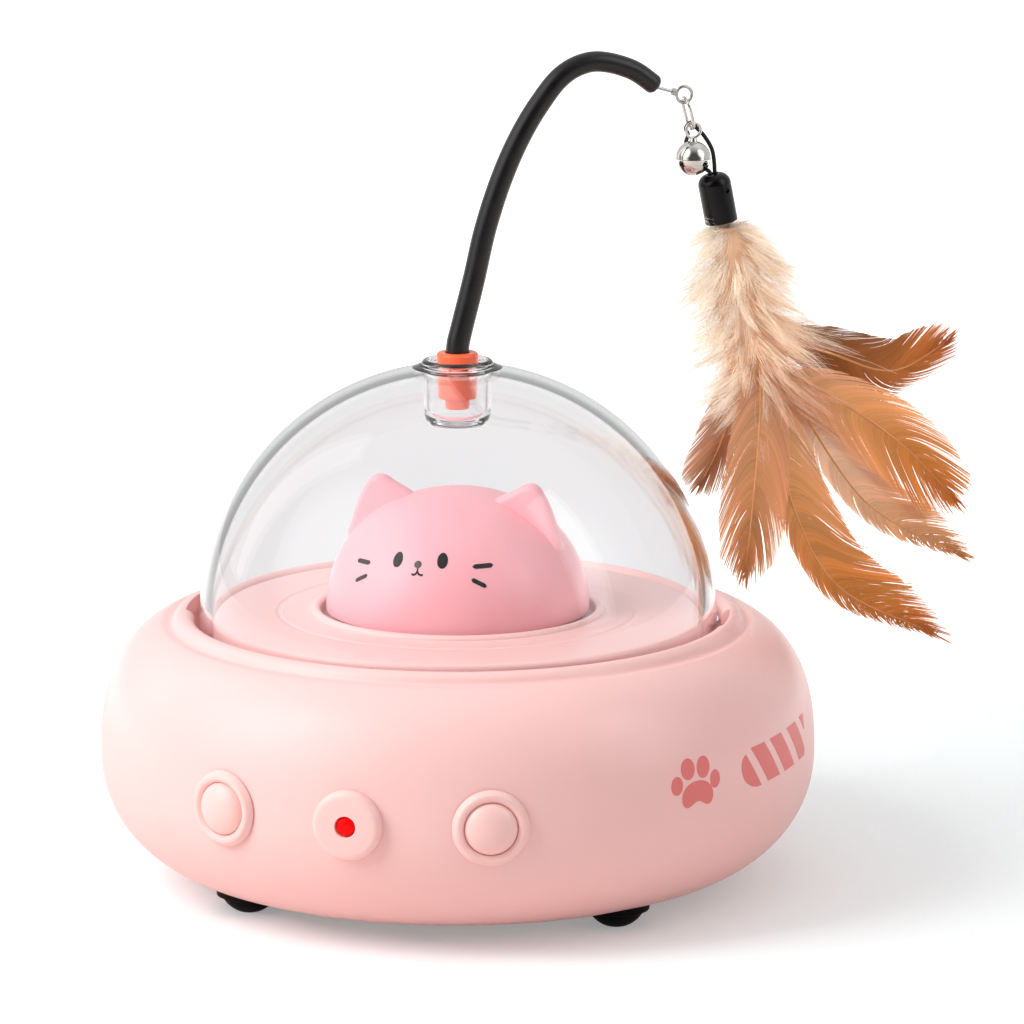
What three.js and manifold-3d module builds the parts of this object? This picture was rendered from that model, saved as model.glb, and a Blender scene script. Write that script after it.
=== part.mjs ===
// An automatic laser toy for cats: a round casing, a turning cat head under a clear dome,
// and a wand with a bell and a feather teaser that plugs into a cup at the dome's top.
// Millimetres, +Z up. The origin is the centre of the base cover's underside, on the head's axis.
// The front, with the buttons, faces -Y. Angles named "bearing" turn from the front towards +X.
import * as THREE from "three";
import { mergeVertices } from "three/addons/utils/BufferGeometryUtils.js";
import Module from "manifold-3d";

// Fits shared by all pieces
const seat_gap = 0.3;
const overrun = 1;
const degree = Math.PI / 180;

// Facets round each kind of piece
const body_sides = 32;
const head_sides = 24;
const head_steps = 8;
const part_sides = 14;
const cup_sides = 16;
const foot_sides = 12;
const rod_sides = 9;
const small_sides = 8;
const wire_sides = 6;

// Casing, from its base to the deck
const widest_height = 27.6;
const lower_reach = 29.3;
const upper_reach = 24.5;
const upper_rise = 32;
const lower_fullness = 2.07;
const upper_fullness = 2.46;
const shell_wall = 2.4;
const deck_above_shoulder = 0.9;
const deck_height = widest_height + upper_rise + deck_above_shoulder;

// Clear dome and the channel that it locks into
const dome_radius = 60.8;
const dome_wall = 3;
const dome_sink = 2.5;
const dome_side_gap = 1.1;
const channel_depth = 10;
const flange_depth = 3.8;
const lug_reach = 3.5;
const lug_height = 1.8;
const lug_span = 12 * degree;
const notch_span = 15.5 * degree;
const notch_bearing = -81 * degree;
const lock_turn = 24 * degree;
const lug_count = 2;
const stop_span = 2 * degree;
const dome_centre_height = deck_height - dome_sink;
const dome_inner_radius = dome_radius - dome_wall;
const dome_top = dome_centre_height + dome_radius;
const lip_radius = dome_radius + dome_side_gap;
const channel_floor = deck_height - channel_depth;
const flange_underside = deck_height - flange_depth;
const track_radius = dome_radius + lug_reach + 2 * seat_gap;
const lug_top = flange_underside - seat_gap;

// Rounded lip round the channel's mouth
const bead_radius = 2.5;
const lip_drop = 0.1;
const groove_width = 2.9;
const groove_dip = 0.4;
const bead_axis_radius = lip_radius + bead_radius;
const bead_start = 25 * degree;
const bead_axis_height = deck_height - lip_drop - bead_radius;
const groove_outer_radius = bead_axis_radius + bead_radius + groove_width;

// Casing, from the lip's groove out to its widest line and in again to the base cover
const shoulder_width = 14.2;
const cover_inset = 16;
const body_radius = groove_outer_radius + shoulder_width;
const cover_radius = body_radius - cover_inset;

// Deck inside the dome, with a collar round the head
const deck_wall = 2.2;
const deck_skirt_wall = 2.4;
const deck_edge_round = 1.2;
const deck_radius = dome_inner_radius * Math.cos(Math.PI / body_sides) - seat_gap;
const ledge_lip = 2;
const ledge_inner_radius = deck_radius - deck_skirt_wall - ledge_lip;
const collar_gap = 1.2;
const collar_width = 1.7;
const collar_height = 2.5;
const step_gap = 8.2;
const step_width = 0.8;
const step_depth = 0.3;
const deck_underside = deck_height - deck_wall;

// Cat head
const head_radius = 30.9;
const head_height = 28.4;
const head_fullness = 2.1;
const head_wall = 1.8;
const head_turn = -3.3 * degree;
const head_lift = 0.5;
const head_base = deck_height + head_lift;
const collar_radius = head_radius + collar_gap;
const step_radius = collar_radius + collar_width + step_gap;
const ear_setback = -2;
const ear_thickness = 4.6;
const ear_edge_round = 1.3;
const ear_points_shares = [
  [0.2, 0.88],
  [0.345, 0.955],
  [0.49, 1.035],
  [0.575, 1.085],
  [0.655, 1.075],
  [0.715, 0.99],
  [0.775, 0.86],
  [0.82, 0.72],
  [0.85, 0.53],
  [0.7, 0.45],
  [0.25, 0.6],
];

// Laser in the head, shining out of the nose
const nose_drop = 13;
const nose_height = head_height - nose_drop;
const nose_radius = 0.8;
const laser_radius = 3.6;
const laser_length = 13;
const laser_gap = 3.06;
const laser_front = headSkin(nose_height + laser_radius, head_wall) - laser_gap;
const laser_tip_radius = 2;
const laser_tip_length = 1.4;
const laser_tilt = 4 * degree;
const saddle_length = 8;
const saddle_width = 5;

// Turntable, spindle and bearings
const turntable_lift = 1.4;
const turntable_wall = 2.2;
const hub_radius = 5;
const hub_height = 7;
const spindle_radius = 2.5;
const wire_bore_radius = 1.1;
const bush_wall = 1.4;
const bush_flange = 1.2;
const bush_flange_height = 0.7;
const deck_hub_depth = 6;
const deck_hub_wall = 3.4;
const bush_bore = spindle_radius + seat_gap;
const bush_radius = bush_bore + bush_wall;
const turntable_base = deck_height + turntable_lift;
const turntable_top = turntable_base + turntable_wall;
const hub_top = turntable_top + hub_height;
const deck_hub_underside = deck_underside - deck_hub_depth;

// Gear train under the deck
const gear_module = 1;
const head_gear_teeth = 36;
const pinion_teeth = 12;
const gear_thickness = 5;
const pinion_extra = 1;
const gear_gap = 0.6;
const backlash = 0.25;
const centre_play = 0.25;
const pressure_angle = 20 * degree;
const gear_hub_radius = 6;
const gear_dish = 1.2;
const gear_rim = 3;
const gear_centres = (gear_module * (head_gear_teeth + pinion_teeth)) / 2 + centre_play;
const gear_top = deck_hub_underside - gear_gap;
const gear_base = gear_top - gear_thickness;

// Frame that hangs the motor and the lower bearing from the deck
const frame_wall = 2.4;
const frame_play = 0.2;
const frame_post_inset = 19.5;
const frame_post_radius = 3.4;
const frame_post_count = 3;
const frame_post_phase = 30 * degree;
const frame_corner_radius = 6;
const frame_post_circle = deck_radius - frame_post_inset;
const frame_top = gear_base - bush_flange_height - seat_gap - frame_play;
const frame_base = frame_top - frame_wall;

// Motor, slip ring and brushes
const motor_radius = 10;
const motor_length = 22;
const motor_flat = 7.8;
const motor_shaft_radius = 1.5;
const slip_ring_radius = 4.6;
const slip_ring_length = 7;
const slip_ring_groove = 0.5;
const slip_ring_tracks = 3;
const spindle_end = 1;
const brush_gap = 3;
const brush_width = 5;
const brush_length = 9;

// Power: a cell in a tray, and the control board with the charging inlet
const cell_radius = 9;
const cell_length = 65;
const cell_nub_radius = 3;
const cell_nub_length = 1.2;
const tray_wall = 2;
const tray_inset = 32;
const tray_forward = cover_radius - tray_inset;
const cell_round = 1;
const cradle_width = 3;
const cradle_lip = 3;
const cradle_place = 20;
const board_wall = 1.6;
const board_depth = 34;
const board_gap = 2;
const board_post_radius = 2.6;
const board_post_gap = 2.1;
const inlet_width = 8.9;
const inlet_height = 3.2;
const inlet_depth = 7.2;
const inlet_metal = 0.4;
const inlet_tongue = 0.8;
const inlet_tongue_set = 1;
const inlet_sunk = 1.2;
const inlet_bearing = 180 * degree;
const inlet_axis_height = 17;
const chip_size = 9;
const chip_height = 1.6;

// Buttons on the front
const button_height = 29.2;
const button_spread = 22 * degree;
const button_radius = 5.8;
const button_bulge = 2.3;
const button_stand = 0.9;
const button_travel = 0.8;
const bezel_radius = 8.25;
const bezel_stand = 0.4;
const bezel_sleeve = 0.9;
const bezel_seat_depth = 1.3;
const bezel_bore = button_radius + seat_gap;
const boss_radius = 7.8;
const boss_stand = 2.2;
const boss_edge_round = 1.3;
const retainer_gap = 0.65;
const retainer_wall = 1;
const retainer_reach = 1.3;
const stem_radius = 1.8;
const stem_length = 6.2;
const lens_radius = 2.1;
const lens_recess = 0.5;
const lens_bulge = 0.8;
const switch_size = 6;
const switch_height = 3.4;
const switch_plunger = 0.7;
const switch_board_size = 11;
const switch_board_wall = 1.2;
const switch_post_wall = 2.4;
const button_seat = sideRadius(button_height);
const retainer_edge = boss_radius + retainer_reach;
const retainer_room = Math.min(
  insideRadius(button_height - retainer_edge),
  insideRadius(button_height + retainer_edge),
);
const retainer_face = retainer_room - button_seat - retainer_gap;
const stem_tip = retainer_face - retainer_wall - stem_length;
const switch_tip = stem_tip - button_travel - seat_gap / 6;

// Base cover, feet and screws
const cover_wall = 2.4;
const foot_stand = 3.5;
const foot_inset = 9.8;
const foot_circle = cover_radius - foot_inset;
const foot_axis_bearing = 8.2 * degree;
const foot_half_spread = 47.3 * degree;
const foot_ball_radius = 7.2;
const foot_sole_radius = 2.8;
const foot_collar_radius = 7.7;
const foot_collar_base = 0.2;
const foot_pocket_depth = 2.6;
const foot_stem_radius = 2.2;
const foot_names = ["front_left_foot", "front_right_foot", "rear_right_foot", "rear_left_foot"];
const foot_bearings = [
  foot_axis_bearing - foot_half_spread,
  foot_axis_bearing + foot_half_spread,
  foot_axis_bearing - foot_half_spread + Math.PI,
  foot_axis_bearing + foot_half_spread + Math.PI,
];
const screw_inset = 10;
const screw_circle = cover_radius - screw_inset;
const screw_radius = 1.4;
const screw_head_radius = 2.8;
const screw_head_height = 1.6;
const screw_bite = 8;
const cover_screw_count = 4;
const cover_boss_radius = 5;
const cover_boss_height = 2.6;
const pillar_radius = 3.8;

// Cup at the dome's top, its grip ring and the wand's plug
const cup_radius = 7.8;
const cup_wall = 1.5;
const cup_room = 2.1;
const cup_floor = 1.9;
const cup_round = 2.4;
const cup_rim_rise = 1.3;
const cup_rim_radius = 8.4;
const cup_flange_radius = 10.65;
const cup_flange_wall = 0.9;
const cup_inner_radius = cup_radius - cup_wall;
const cup_rim_top = dome_top + cup_rim_rise;
const grip_height = 2.1;
const grip_sink = 1.3;
const plug_wall = 1.22;
const plug_lip = 0.24;
const plug_flange_step = 0.58;
const plug_flange_height = 2.7;
const plug_length = 8.8;
const plug_nib_radius = 2.86;
const plug_nib_length = 2.3;
const rod_root_radius = 2.8;
const plug_bore = rod_root_radius + seat_gap;
const plug_neck_radius = plug_bore + plug_wall;
const plug_radius = plug_neck_radius + plug_lip;
const grip_top = cup_rim_top - grip_sink;
const grip_base = grip_top - grip_height;
const grip_bore = plug_neck_radius + seat_gap;
const plug_flange_base = grip_top + seat_gap;
const plug_top = plug_flange_base + plug_flange_height;
const plug_base = plug_flange_base - plug_length;
const cup_floor_top = plug_base - plug_nib_length - cup_room;

// Wand: an arched rubber rod on a wire that ends in an eye
const wand_bearing = 124.5 * degree;
const wand_rise = 66.6;
const rod_tip_radius = 2.35;
const rod_socket = 8;
const rod_steps = 19;
const rod_end_share = 0.985;
const rod_blunt_share = 0.78;
const wire_radius = 0.4;
const wire_lead = 4.6;
const wire_drop = 1.9;
const eye_radius = 1.9;
const rod_route_shares = [
  [0, 0],
  [0.004, 0.03],
  [0.02, 0.078],
  [0.081, 0.249],
  [0.142, 0.435],
  [0.23, 0.621],
  [0.321, 0.76],
  [0.41, 0.862],
  [0.51, 0.949],
  [0.6, 0.988],
  [0.7, 1],
  [0.872, 0.965],
  [1, 0.899],
];

// Link, bell and elastic loop between the wire and the teaser
const link_radius = 0.45;
const link_half_width = 2.3;
const link_length = 7.6;
const link_lean = 15 * degree;
const bell_radius = 4.1;
const bell_wall = 0.55;
const bell_eye_radius = 1.8;
const bell_eye_wire = 0.35;
const bell_slot = 0.9;
const bell_aside_share = 0.8333;
const bell_neck = 0.7;
const bell_turn = 27 * degree;
const pellet_radius = 1.3;
const cord_radius = 0.65;
const cord_aside_share = 0.7778;
const link_room = link_half_width - link_radius - seat_gap;
const bell_aside = bell_aside_share * (link_room - bell_eye_wire);
const cord_aside = cord_aside_share * (link_room - cord_radius);
const loop_lean = 5.2;
const loop_slack = 0.4;
const loop_clearance = 0.65;
const loop_height = 2 * (bell_eye_radius + bell_radius) + loop_slack;
const loop_bulge = bell_radius - bell_aside + cord_radius + loop_clearance;
const loop_bore_depth = 3.2;
const loop_steps = 28;

// Teaser: a rubber cap that grips down fluff and six feathers
const cap_radius = 3.9;
const cap_length = 11.8;
const cap_lean = 11.4 * degree;
const cap_socket_depth = 4;
const cap_wall = 0.9;
const teaser_outset = 4.4;
const teaser_spread = 69.7;
const teaser_clearance = 1.7;
const teaser_hang_share = 0.825;
const fluff_length = 49;
const fluff_reach = 19.5;
const fluff_flatness_share = 0.72;
const feather_width = 15.5;
const feather_layer = 8;
const feather_thickness = 0.8;
const feather_camber = 0.7;
const feather_steps = 11;

// Colours and finishes
const blush = { color: 0xf8cfcc, roughness: 0.38, metalness: 0 };
const rose = { color: 0xf6bcc6, roughness: 0.42, metalness: 0 };
const clear = { color: 0xf4f8fa, roughness: 0.05, metalness: 0, transparent: true, opacity: 0.3 };
const coral = { color: 0xfa7247, roughness: 0.45, metalness: 0 };
const black_rubber = { color: 0x1b1b1c, roughness: 0.6, metalness: 0 };
const ruby = { color: 0xe8060c, roughness: 0.12, metalness: 0 };
const nickel = { color: 0xc9c8c4, roughness: 0.2, metalness: 1 };
const steel = { color: 0xa8abae, roughness: 0.35, metalness: 1 };
const brass = { color: 0xb5904a, roughness: 0.35, metalness: 1 };
const acetal = { color: 0xeceae4, roughness: 0.5, metalness: 0 };
const grey_plastic = { color: 0x55585c, roughness: 0.6, metalness: 0 };
const board_green = { color: 0x1f5b3a, roughness: 0.5, metalness: 0 };
const cell_blue = { color: 0x2f5d9c, roughness: 0.45, metalness: 0 };
const down = { color: 0xe2c3a6, roughness: 0.95, metalness: 0 };
const quill_brown = { color: 0xb9713a, roughness: 0.8, metalness: 0 };

// Solids are built with these few operations
const wasm = await Module();
wasm.setup();

function solid(geometry) {
  const bare = new THREE.BufferGeometry();
  bare.setAttribute("position", geometry.getAttribute("position"));
  if (geometry.index) bare.setIndex(geometry.index);
  const merged = mergeVertices(bare, 1e-4);
  const corners = merged.index.array;
  const faces = [];
  for (let i = 0; i < corners.length; i += 3) {
    const [a, b, c] = corners.slice(i, i + 3);
    if (a !== b && b !== c && c !== a) faces.push(a, b, c);
  }
  const made = (triangles) =>
    new wasm.Manifold(
      new wasm.Mesh({
        numProp: 3,
        vertProperties: merged.attributes.position.array,
        triVerts: new Uint32Array(triangles),
      }),
    );
  const first = made(faces);
  return first.volume() > 0 ? first : made(faces.reverse());
}

function join(...parts) {
  return parts.reduce((whole, part) => whole.add(part));
}

function cut(base, ...tools) {
  return tools.reduce((left, tool) => left.subtract(tool), base);
}

// A profile of [radius, height] pairs turned about Z. Its ends lie on the axis, or it closes.
function revolve(profile, sides = part_sides) {
  const points = profile.map(([r, z]) => new THREE.Vector2(r, z));
  if (points[0].x > 0 || points.at(-1).x > 0) points.push(points[0].clone());
  return solid(new THREE.LatheGeometry(points, sides).rotateX(Math.PI / 2));
}

function drum(radius, low, high, sides = part_sides) {
  return revolve([[0, low], [radius, low], [radius, high], [0, high]], sides);
}

function tubeRing(inner, outer, low, high, sides = part_sides) {
  return revolve([[inner, low], [outer, low], [outer, high], [inner, high]], sides);
}

// Points of a round corner, from one angle to another
function arc(r, z, radius, from, to, steps = 4) {
  return Array.from({ length: steps + 1 }, (_, i) => {
    const angle = from + ((to - from) * i) / steps;
    return [r + radius * Math.cos(angle), z + radius * Math.sin(angle)];
  });
}

function outline(points) {
  return new THREE.Shape(points.map(([x, y]) => new THREE.Vector2(x, y)));
}

function slab(shape, low, high, round = 0) {
  const geometry = new THREE.ExtrudeGeometry(shape, {
    depth: high - low - 2 * round,
    bevelEnabled: round > 0,
    bevelSize: round,
    bevelOffset: -round,
    bevelThickness: round,
    bevelSegments: 2,
    curveSegments: 6,
  });
  return solid(geometry.translate(0, 0, low + round));
}

function block(width, depth, low, high) {
  return slab(
    outline([
      [-width / 2, -depth / 2],
      [width / 2, -depth / 2],
      [width / 2, depth / 2],
      [-width / 2, depth / 2],
    ]),
    low,
    high,
  );
}

// A piece of a ring between two bearings
function sector(inner, outer, middle, span, low, high, steps = 4) {
  const at = (radius, bearing) => [radius * Math.sin(bearing), -radius * Math.cos(bearing)];
  const bearings = Array.from({ length: steps + 1 }, (_, i) => middle + span * (i / steps - 0.5));
  const there = bearings.map((bearing) => at(outer, bearing));
  const back = bearings.toReversed().map((bearing) => at(inner, bearing));
  return slab(outline([...there, ...back]), low, high);
}

// Rings of points joined into one skin, closed at both ends or into a loop
function loft(rings, looped = false) {
  const count = rings[0].length;
  const positions = rings.flat().flatMap((p) => [p.x, p.y, p.z]);
  const faces = [];
  const spans = looped ? rings.length : rings.length - 1;
  for (let i = 0; i < spans; i++) {
    const low = i * count;
    const high = ((i + 1) % rings.length) * count;
    for (let j = 0; j < count; j++) {
      const k = (j + 1) % count;
      faces.push(low + j, low + k, high + k, low + j, high + k, high + j);
    }
  }
  const last = (rings.length - 1) * count;
  for (let j = 1; !looped && j < count - 1; j++)
    faces.push(0, j + 1, j, last, last + j, last + j + 1);
  const geometry = new THREE.BufferGeometry();
  geometry.setAttribute("position", new THREE.Float32BufferAttribute(positions, 3));
  geometry.setIndex(faces);
  return solid(geometry);
}

// A round wire or rod along a curve; its radius may follow a function of the share of the way
function wire(curve, radius, steps, looped = false, sides = wire_sides) {
  const frames = curve.computeFrenetFrames(steps, looped);
  const sizeAt = typeof radius === "function" ? radius : () => radius;
  const rings = Array.from({ length: looped ? steps : steps + 1 }, (_, i) => {
    const centre = curve.getPointAt(i / steps);
    return Array.from({ length: sides }, (_, j) => {
      const turn = (j / sides) * 2 * Math.PI;
      return centre
        .clone()
        .addScaledVector(frames.normals[i], Math.cos(turn) * sizeAt(i / steps))
        .addScaledVector(frames.binormals[i], Math.sin(turn) * sizeAt(i / steps));
    });
  });
  return loft(rings, looped);
}

function moved(part, x, y, z) {
  return part.translate([x, y, z]);
}

function tipped(part, x, y, z) {
  return part.rotate([x / degree, y / degree, z / degree]);
}

// A place on a circle at a bearing from the front
function spot(radius, bearing, height = 0) {
  return [radius * Math.sin(bearing), -radius * Math.cos(bearing), height];
}

// A part built about Z, set on the casing's side so that its own Z points outwards
function facing(part, bearing, radius, height) {
  const laid = tipped(part, Math.PI / 2, 0, bearing);
  return moved(laid, ...spot(radius, bearing, height));
}

const toy = new THREE.Group();

function piece(name, part, finish, group = toy) {
  const mesh = part.getMesh();
  const positions = [];
  for (let i = 0; i < mesh.numVert; i++)
    positions.push(...mesh.vertProperties.subarray(i * mesh.numProp, i * mesh.numProp + 3));
  const geometry = new THREE.BufferGeometry();
  geometry.setAttribute("position", new THREE.Float32BufferAttribute(positions, 3));
  geometry.setIndex([...mesh.triVerts]);
  geometry.computeVertexNormals();
  const made = new THREE.Mesh(geometry, new THREE.MeshStandardMaterial(finish));
  made.name = name;
  group.add(made);
}

// Casing outline: two rounded quarters that meet at the widest line
function quarter(reach, rise, fullness, radius, steps) {
  const start = Math.acos(((radius - body_radius + reach) / reach) ** (fullness / 2));
  return Array.from({ length: steps + 1 }, (_, i) => {
    const angle = start * (1 - i / steps);
    return [
      body_radius - reach + reach * Math.cos(angle) ** (2 / fullness),
      widest_height + rise * Math.sin(angle) ** (2 / fullness),
    ];
  });
}

function lowerCurve(radius, steps) {
  return quarter(lower_reach, -widest_height, lower_fullness, radius, steps);
}

function upperCurve(radius, steps) {
  return quarter(upper_reach, upper_rise, upper_fullness, radius, steps);
}

// The casing's radius at a height
function sideRadius(height) {
  const below = height < widest_height;
  const [reach, rise] = below ? [lower_reach, -widest_height] : [upper_reach, upper_rise];
  const fullness = below ? lower_fullness : upper_fullness;
  const share = (height - widest_height) / rise;
  return body_radius - reach + reach * (1 - share ** fullness) ** (1 / fullness);
}

// The radius of the wall's inner face at a height
function insideRadius(height) {
  const slope = (sideRadius(height + seat_gap) - sideRadius(height - seat_gap)) / (2 * seat_gap);
  return sideRadius(height) - shell_wall * Math.hypot(1, slope);
}

// The same line set inwards by a wall
function insetLine(points, wall) {
  return points.map(([r, z], i) => {
    const [r0, z0] = points[Math.max(i - 1, 0)];
    const [r1, z1] = points[Math.min(i + 1, points.length - 1)];
    const length = Math.hypot(r1 - r0, z1 - z0);
    return [r - (wall * (z1 - z0)) / length, z + (wall * (r1 - r0)) / length];
  });
}

const screw_bearings = Array.from(
  { length: cover_screw_count },
  (_, i) => foot_axis_bearing + (i * 2 * Math.PI) / cover_screw_count,
);
const notch_bearings = Array.from(
  { length: lug_count },
  (_, i) => notch_bearing + (i * 2 * Math.PI) / lug_count,
);
const button_bearings = [-button_spread, 0, button_spread];
const cover_boss_top = cover_wall + cover_boss_height;

function upperShell() {
  const rim_radius = cover_radius + seat_gap;
  const side = [...lowerCurve(rim_radius, 5), ...upperCurve(groove_outer_radius, 6).reverse().slice(1)];
  const rough_side = [...lowerCurve(rim_radius, 4), ...upperCurve(groove_outer_radius, 4).reverse().slice(1)];
  const shoulder = side.at(-1);
  const bead = arc(bead_axis_radius, bead_axis_height, bead_radius, bead_start, Math.PI, 5);
  const groove = [
    [shoulder[0] - groove_width * 0.55, shoulder[1] - groove_dip],
    [bead[0][0] + groove_width * 0.12, (shoulder[1] + bead[0][1]) / 2 - groove_dip],
  ];
  const inner = insetLine(rough_side, shell_wall).reverse();
  // The rim's edge stands upright, so that the cover drops in
  inner.splice(-1, 1, [rim_radius, side[0][1] + shell_wall + seat_gap]);
  const wall = revolve(
    [
      ...side,
      ...groove,
      ...bead,
      [lip_radius, flange_underside],
      [track_radius, flange_underside],
      ...inner,
    ],
    body_sides,
  );
  const track_wall_radius = track_radius + shell_wall;
  const channel = revolve(
    [
      [ledge_inner_radius, channel_floor],
      [track_radius, channel_floor],
      [track_radius, flange_underside + seat_gap],
      [track_wall_radius, flange_underside + seat_gap],
      [track_wall_radius, channel_floor - shell_wall],
      [ledge_inner_radius, channel_floor - shell_wall],
    ],
    body_sides,
  );
  const pillar_base = cover_boss_top + seat_gap;
  const pillars = screw_bearings.map((bearing) =>
    moved(
      cut(
        drum(pillar_radius, pillar_base, channel_floor - shell_wall / 2, small_sides),
        drum(screw_radius + seat_gap, pillar_base - overrun, pillar_base + screw_bite, small_sides),
      ),
      ...spot(screw_circle, bearing),
    ),
  );
  // Each lug drops through its notch and turns along the track to a stop
  const cuts = notch_bearings.map((bearing) =>
    sector(
      dome_radius,
      track_radius,
      bearing,
      notch_span,
      flange_underside - overrun,
      deck_height + overrun,
    ),
  );
  const stop_reach = lug_span / 2 + stop_span;
  const stops = notch_bearings.flatMap((bearing) =>
    [bearing - stop_reach, bearing + lock_turn + stop_reach].map((place) =>
      sector(
        lip_radius,
        track_radius + overrun,
        place,
        stop_span,
        lug_top - lug_height,
        flange_underside + overrun,
        1,
      ),
    ),
  );
  const bore = (radius, low) => drum(radius, low, bezel_radius, part_sides);
  const through = retainer_face - overrun;
  const bezel_cuts = [-1, 1].flatMap((side_sign) => [
    facing(
      bore(bezel_radius + seat_gap, -bezel_seat_depth),
      side_sign * button_spread,
      button_seat,
      button_height,
    ),
    facing(
      bore(bezel_bore + bezel_sleeve + seat_gap, through),
      side_sign * button_spread,
      button_seat,
      button_height,
    ),
  ]);
  const boss_cut = facing(bore(boss_radius + seat_gap, through), 0, button_seat, button_height);
  const inlet_cut = facing(
    inletOutline(
      inlet_width + 2 * seat_gap,
      inlet_height + 2 * seat_gap,
      inletMouth() - inlet_depth,
      shell_wall,
    ),
    inlet_bearing,
    body_radius,
    inlet_axis_height,
  );
  return cut(join(wall, channel, ...pillars, ...stops), ...cuts, ...bezel_cuts, boss_cut, inlet_cut);
}

function inletOutline(width, height, low, high) {
  const bend = height / 2;
  const shape = new THREE.Shape();
  shape.absarc(width / 2 - bend, 0, bend, -Math.PI / 2, Math.PI / 2);
  shape.absarc(bend - width / 2, 0, bend, Math.PI / 2, 1.5 * Math.PI);
  return slab(shape, low, high);
}

// How far in from the widest radius the inlet's mouth lies
function inletMouth() {
  return sideRadius(inlet_axis_height) - body_radius - inlet_sunk;
}

function baseCover() {
  const flat_radius = body_radius - lower_reach;
  const rise = [0.35, 0.7, 1].map(
    (share) => lowerCurve(flat_radius + (cover_radius - flat_radius) * share, 1)[0],
  );
  const rim_top = rise.at(-1)[1] + cover_wall;
  const plate = revolve(
    [
      [0, 0],
      [flat_radius, 0],
      ...rise,
      [cover_radius, rim_top],
      [cover_radius - cover_wall, rim_top],
      [flat_radius + cover_wall, cover_wall],
      [0, cover_wall],
    ],
    body_sides,
  );
  const pocket_radius = foot_collar_radius + seat_gap;
  const foot_bosses = foot_bearings.map((bearing) =>
    moved(
      drum(pocket_radius + cover_wall, cover_wall / 2, foot_pocket_depth + cover_wall, foot_sides),
      ...spot(foot_circle, bearing),
    ),
  );
  const screw_bosses = screw_bearings.map((bearing) =>
    moved(
      drum(cover_boss_radius, cover_wall / 2, cover_boss_top, small_sides),
      ...spot(screw_circle, bearing),
    ),
  );
  const pockets = foot_bearings.flatMap((bearing) => [
    moved(drum(pocket_radius, -overrun, foot_pocket_depth, foot_sides), ...spot(foot_circle, bearing)),
    moved(
      drum(foot_stem_radius + seat_gap, 0, foot_pocket_depth + cover_wall + overrun, small_sides),
      ...spot(foot_circle, bearing),
    ),
  ]);
  const screw_seat = cover_boss_top - cover_wall;
  const screw_holes = screw_bearings.flatMap((bearing) => [
    moved(
      drum(screw_head_radius + seat_gap, -overrun, screw_seat, small_sides),
      ...spot(screw_circle, bearing),
    ),
    moved(
      drum(screw_radius + seat_gap, 0, cover_boss_top + overrun, small_sides),
      ...spot(screw_circle, bearing),
    ),
  ]);
  const board_top = inletBoardHeight();
  const posts = boardPostPlaces().map(([x, y]) =>
    moved(drum(board_post_radius, cover_wall / 2, board_top - board_wall - seat_gap, small_sides), x, y, 0),
  );
  // Each switch stands against an upright wall on the cover
  const back = switchBoardBack();
  const walls = button_bearings.map((bearing) => {
    const upright = moved(
      block(switch_board_size, switch_post_wall, cover_wall / 2, button_height + switch_board_size / 2),
      0,
      -(button_seat + back - switch_post_wall / 2 - seat_gap),
      0,
    );
    return tipped(upright, 0, 0, bearing);
  });
  // The cell's tray drops into two cradles
  const tray_depth = 2 * (cell_radius + tray_wall);
  const cradles = [-1, 1].map((side) => {
    const cradle = cut(
      block(cradle_width, tray_depth + 2 * (cover_wall + seat_gap), cover_wall / 2, tray_base + cradle_lip),
      block(2 * cradle_width, tray_depth + 2 * seat_gap, tray_base - seat_gap, 2 * tray_base + cradle_lip),
    );
    return moved(cradle, side * cradle_place, -tray_forward, 0);
  });
  // All that stands on the cover starts within its wall
  const half_wall = cover_wall / 2;
  const above = revolve(
    [
      [0, half_wall],
      [flat_radius, half_wall],
      ...rise.map(([r, z]) => [r - half_wall, z + half_wall]),
      [cover_radius - half_wall, widest_height + button_height],
      [0, widest_height + button_height],
    ],
    body_sides,
  );
  const stands = join(...foot_bosses, ...screw_bosses, ...posts, ...walls, ...cradles).intersect(above);
  return cut(join(plate, stands), ...pockets, ...screw_holes);
}

const tray_base = foot_pocket_depth + cover_wall + seat_gap;
const cell_height = tray_base + tray_wall + seat_gap + cell_radius;

function foot() {
  const ball_height = Math.sqrt(foot_ball_radius ** 2 - foot_sole_radius ** 2) - foot_stand;
  const lowest = Math.asin((-foot_stand - ball_height) / foot_ball_radius);
  const highest = Math.asin((foot_collar_base - ball_height) / foot_ball_radius);
  const collar_top = foot_pocket_depth - seat_gap;
  const stem_top = foot_pocket_depth + cover_wall;
  return revolve(
    [
      [0, -foot_stand],
      ...arc(0, ball_height, foot_ball_radius, lowest, highest, 3),
      [foot_collar_radius, foot_collar_base],
      [foot_collar_radius, collar_top],
      [foot_stem_radius, collar_top],
      [foot_stem_radius, stem_top],
      [0, stem_top],
    ],
    foot_sides,
  );
}

function screw(seat, bite) {
  return revolve(
    [
      [0, seat - screw_head_height],
      [screw_head_radius * 0.85, seat - screw_head_height],
      [screw_head_radius, seat],
      [screw_radius, seat],
      [screw_radius, seat + bite - screw_radius],
      [0, seat + bite],
    ],
    small_sides,
  );
}

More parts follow.
